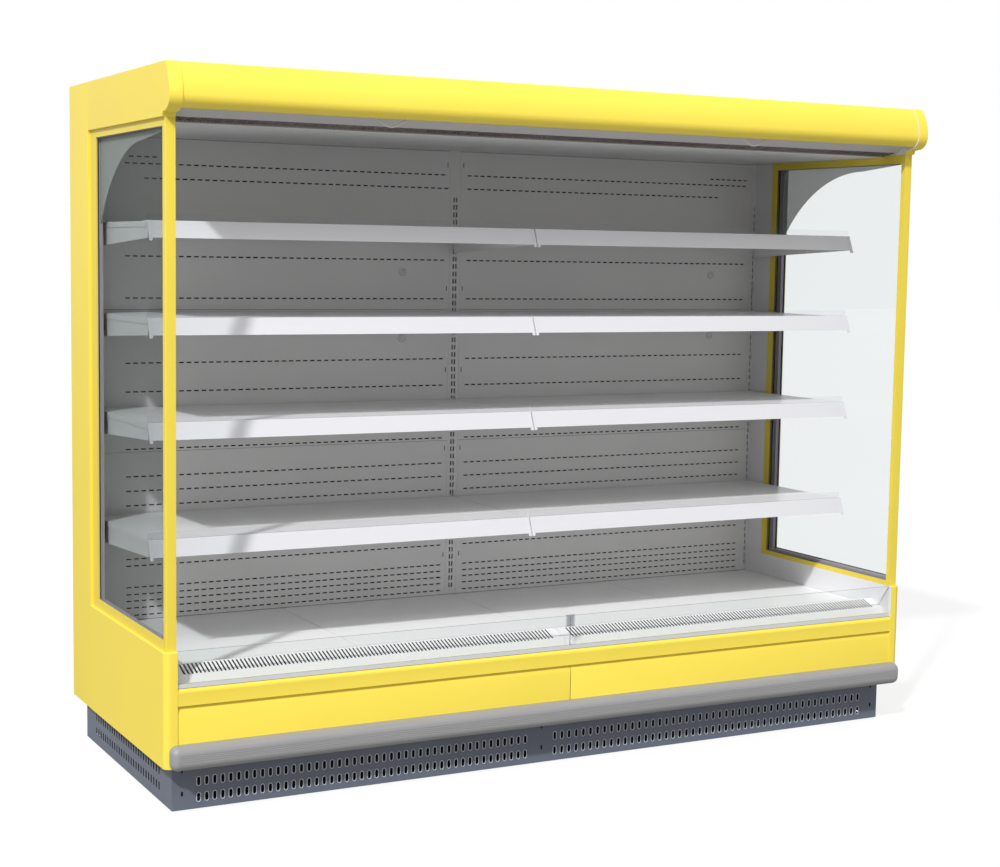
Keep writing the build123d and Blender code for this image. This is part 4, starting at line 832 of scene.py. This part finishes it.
# %% Cells in two shifted grids
row_step = {0: given["Across"], 1: math.sqrt(3)}
gap = add(comb_tree, "ShaderNodeMath", row_step, operation="MULTIPLY")
columns = add(comb_tree, "ShaderNodeMath", {0: given["Columns"], 1: 1.0}, operation="SUBTRACT")
rows = add(comb_tree, "ShaderNodeMath", {0: given["Rows"], 1: 1.0}, operation="SUBTRACT")
spread = {
    "Size X": add(
        comb_tree, "ShaderNodeMath", {0: columns, 1: given["Across"]}, operation="MULTIPLY"
    ),
    "Size Y": add(comb_tree, "ShaderNodeMath", {0: rows, 1: gap}, operation="MULTIPLY"),
    "Vertices X": given["Columns"],
    "Vertices Y": given["Rows"],
}
grid = add(comb_tree, "GeometryNodeMeshGrid", spread)
half_cell = {
    "X": add(comb_tree, "ShaderNodeMath", {0: given["Across"], 1: 0.5}, operation="MULTIPLY"),
    "Y": add(comb_tree, "ShaderNodeMath", {0: gap, 1: 0.5}, operation="MULTIPLY"),
}
step = add(comb_tree, "ShaderNodeCombineXYZ", half_cell)
shifted = add(comb_tree, "GeometryNodeTransform", {"Geometry": grid, "Translation": step})
points = add(comb_tree, "GeometryNodeJoinGeometry", {"Geometry": grid})
feed(comb_tree, points, {"Geometry": shifted})
tubes = add(comb_tree, "GeometryNodeInstanceOnPoints", {"Points": points, "Instance": tube})
close_tree(comb_tree, tubes, honeycomb_painted_light)

# %% The slab of honeycomb
# The slab is 18 mm thick and 66 mm deep. It stands 11 mm lower at the back than at the front.
outlet_low, outlet_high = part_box("air_outlet")
FALL = 0.011 / 0.066
SLAB, SLAB_BOTTOM = 0.018, 1.9155
END_BAR, SIDE_BAR = 0.002, 0.004
COMB = {"Across": 0.011, "Depth": SLAB - 0.002, "Wall": 0.0006, "Columns": 224, "Rows": 3}
comb = grow(comb_tree, **COMB)
half_width = outlet_high.x - END_BAR
middle_y = (outlet_low.y + outlet_high.y) / 2
extent = [min(v.co.y for v in comb.vertices), max(v.co.y for v in comb.vertices)]
opening = outlet_high.y - outlet_low.y
print("honeycomb depth", round(extent[1] - extent[0], 4), "of", round(opening, 4))
for vertex in comb.vertices:
    vertex.co.y += middle_y - sum(extent) / 2
    vertex.co.z += SLAB_BOTTOM + SLAB / 2 - (vertex.co.y - middle_y) * FALL


# %% The frame round it
def sloping_bar(x, y, material):
    """A bar as thick as the slab, its top and bottom sloping with it."""
    made = sheet_block("bar", x, y, (0.0, SLAB), material)
    for vertex in made.vertices:
        vertex.co.z += SLAB_BOTTOM - (vertex.co.y - middle_y) * FALL
    return made


ends = [(-outlet_high.x, -half_width), (half_width, outlet_high.x)]
rims = [sloping_bar(x, (outlet_low.y, outlet_high.y), grey_anodised) for x in ends]
for y in ((outlet_low.y, outlet_low.y + SIDE_BAR), (outlet_high.y - SIDE_BAR, outlet_high.y)):
    rims.append(sloping_bar((-half_width, half_width), y, grey_anodised))
honeycomb = joined("honeycomb_outlet", [comb, *rims], "cabinet")
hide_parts("air_outlet")

# %% [markdown]
# ## The night blinds
# At night a cloth is pulled down over each bay. By day it is wound on the roller, and only a
# short strip hangs between the roll and the pull bar. The wound part is one long spiral of
# cloth that rides on the roller, and the hanging part is a thin sheet from the roll down to
# the pull bar, which belongs to no body.

# %% A thin sheet along a path
def ribbon(name, x, path, thickness):
    """A thin closed sheet along X whose cross section follows a path in Y and Z."""
    sides = []
    for place, (y, z) in enumerate(path):
        before, after = path[max(place - 1, 0)], path[min(place + 1, len(path) - 1)]
        along = Vector((after[0] - before[0], after[1] - before[1])).normalized()
        across = Vector((-along.y, along.x)) * thickness / 2
        sides.append(((y + across.x, z + across.y), (y - across.x, z - across.y)))
    ring = [pair[0] for pair in sides] + [pair[1] for pair in reversed(sides)]
    shape = bmesh.new()
    columns = [[shape.verts.new((x0, y, z)) for y, z in ring] for x0 in x]
    count = len(ring)
    for a, b in zip(columns, columns[1:]):
        for i in range(count):
            shape.faces.new((a[i], b[i], b[(i + 1) % count], a[(i + 1) % count]))
    half = len(path)
    for column, flip in ((columns[0], False), (columns[-1], True)):
        for i in range(half - 1):
            face = (column[i], column[i + 1], column[count - 2 - i], column[count - 1 - i])
            shape.faces.new(face[::-1] if flip else face)
    bmesh.ops.recalc_face_normals(shape, faces=shape.faces)
    made = bpy.data.meshes.new(name)
    shape.to_mesh(made)
    shape.free()
    made.materials.append(blind_weave)
    return made


# %% The spiral of the wound cloth
CORE, ROLL, TURNS, STEPS = 0.01615, 0.0203, 13, 30
ROLLER_Y, ROLLER_Z = -0.4286, 1.992
spiral = []
for i in range(TURNS * STEPS + 1):
    turn = i / STEPS
    reach = CORE + (ROLL - CORE) * turn / TURNS
    angle = -math.tau * turn + math.pi
    spiral.append((ROLLER_Y + reach * math.cos(angle), ROLLER_Z + reach * math.sin(angle)))

# %% Both blinds
CLOTH = 0.00022
for side in ("left", "right"):
    low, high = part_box(f"{side}_blind_cloth")
    width = high.x - low.x
    xs = [low.x + width * i / 6 for i in range(7)]
    wound = ribbon("roll", xs, spiral, CLOTH)
    roll = joined(f"{side}_wound_cloth", [wound], f"{side}_roller", smooth=True)
    y = (low.y + high.y) / 2
    drop = [(y, low.z + (high.z - low.z) * i / 24) for i in range(25)]
    free = ribbon("drop", xs, drop, CLOTH * 2)
    hanging = joined(f"{side}_hanging_cloth", [free], f"{side}_blind")
    hanging.parent = None
    del hanging["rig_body"]
    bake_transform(hanging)
    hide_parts(f"{side}_blind_cloth")

# %% [markdown]
# ## Floor and light
# The floor is a wide pale sheet. Seen by the camera it glows, so that it keeps a soft shadow
# and still runs into the white background, except under the cabinet, where it would shine
# through the vents. There it has no glow and is painted near black as shade. All other rays
# meet a mid grey: a white floor would throw so much light up that the ceiling and the
# undersides lose their shade.

# %% The floor and its painted shade under the cabinet
bpy.ops.mesh.primitive_grid_add(x_subdivisions=4, y_subdivisions=4, size=80)
floor = bpy.context.object
floor.name = "floor"
UNDER_HALF_WIDTH, UNDER_MIDDLE, UNDER_HALF_DEPTH = 1.245, 0.045, 0.430
FLOOR_GLOW, GLOW_SHARE = 1.62, 0.5
paper, paper_tree, paper_shader, paper_place = start_material("pale floor", "#A2A2A2", 0.9)
spot = add(paper_tree, "ShaderNodeSeparateXYZ", {0: paper_place}).outputs
from_middle = {0: spot["Y"], 1: UNDER_MIDDLE}
along = add(paper_tree, "ShaderNodeMath", from_middle, operation="SUBTRACT")
aside = add(paper_tree, "ShaderNodeMath", {0: spot["X"]}, operation="ABSOLUTE")
along = add(paper_tree, "ShaderNodeMath", {0: along}, operation="ABSOLUTE")
side_edge, front_edge = {0: aside, 1: UNDER_HALF_WIDTH}, {0: along, 1: UNDER_HALF_DEPTH}
past_side = add(paper_tree, "ShaderNodeMath", side_edge, operation="GREATER_THAN")
past_front = add(paper_tree, "ShaderNodeMath", front_edge, operation="GREATER_THAN")
outside = add(paper_tree, "ShaderNodeMath", {0: past_side, 1: past_front}, operation="MAXIMUM")
# Painted shade: under the cabinet the floor's colour is near black.
tones = {"Factor": outside, COLOUR_A: colour("#101010"), COLOUR_B: colour("#A2A2A2")}
shade = add(paper_tree, "ShaderNodeMix", tones, data_type="RGBA").outputs[MIXED]
feed(paper_tree, paper_shader, {"Base Color": shade})

# %% The floor's glow
rays = add(paper_tree, "ShaderNodeLightPath").outputs
views = {0: rays["Is Camera Ray"], 1: rays["Is Transmission Ray"]}
seen = add(paper_tree, "ShaderNodeMath", views, operation="MAXIMUM")
seen = add(paper_tree, "ShaderNodeMath", {0: seen, 1: outside}, operation="MULTIPLY")
share = add(paper_tree, "ShaderNodeMath", {0: seen, 1: GLOW_SHARE}, operation="MULTIPLY")
white_glow = {"Color": colour("#FFFFFF"), "Strength": FLOOR_GLOW}
glow = add(paper_tree, "ShaderNodeEmission", white_glow)
lit = add(paper_tree, "ShaderNodeMixShader", {0: share, 1: paper_shader, 2: glow})
feed(paper_tree, paper_tree.nodes["Material Output"], {"Surface": lit})
floor.data.materials.append(paper)
floor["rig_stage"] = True

# %% [markdown]
# A broad sun from the front left gives the canopy its shadow over the shelves. A long lamp high
# in front lights the fascia and the fronts of the shelves softly, and an even white world fills
# in. The camera, glass and metal see that world as plain white.

# %% Lamps
def lamp(name, kind, energy, along):
    """A lamp that shines along a direction."""
    made = bpy.data.objects.new(name, bpy.data.lights.new(name, kind))
    made.data.energy = energy
    made.rotation_mode = "QUATERNION"
    made.rotation_quaternion = along.to_track_quat("-Z", "Y")
    scene.collection.objects.link(made)
    print("lamp", name, energy)
    return made


sun = lamp("sun", "SUN", 2.6, Vector((1.17, 1.0, -1.40)))
sun.data.angle = math.radians(3)

FRONT_PLACE, FRONT_AIM = Vector((-1.8, -3.2, 4.5)), Vector((0, 0.1, 0.6))
front = lamp("front light", "AREA", 80, FRONT_AIM - FRONT_PLACE)
front.location = FRONT_PLACE
front.data.shape = "RECTANGLE"
front.data.size, front.data.size_y = 5.0, 1.0
front.visible_camera = False
front.visible_glossy = False

# %% The white room
FILL, WHITE = 0.46, 1.0
world = bpy.data.worlds.new("white room")
world.use_nodes = True
world.node_tree.nodes.clear()
scene.world = world
world_tree = world.node_tree
rays = add(world_tree, "ShaderNodeLightPath").outputs
views = {0: rays["Is Camera Ray"], 1: rays["Is Glossy Ray"]}
seen = add(world_tree, "ShaderNodeMath", views, operation="MAXIMUM")
views = {0: seen, 1: rays["Is Transmission Ray"]}
seen = add(world_tree, "ShaderNodeMath", views, operation="MAXIMUM")
levels = {"Value": seen, "To Min": FILL, "To Max": WHITE}
strength = add(world_tree, "ShaderNodeMapRange", levels)
sky = add(world_tree, "ShaderNodeBackground", {"Color": colour("#FFFFFF"), "Strength": strength})
add(world_tree, "ShaderNodeOutputWorld", {"Surface": sky})
print("world lights at", FILL, "and shows as", WHITE)

# %% [markdown]
# ## Sizes and finish
# Last, the box of the dressed part is measured and printed. It should be the same as the box
# of the CAD part, since the fine work stays inside the solids' box.

# %% Sizes and finish
low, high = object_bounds()
print("visual box", [round(v, 3) for v in (*low, *high)])
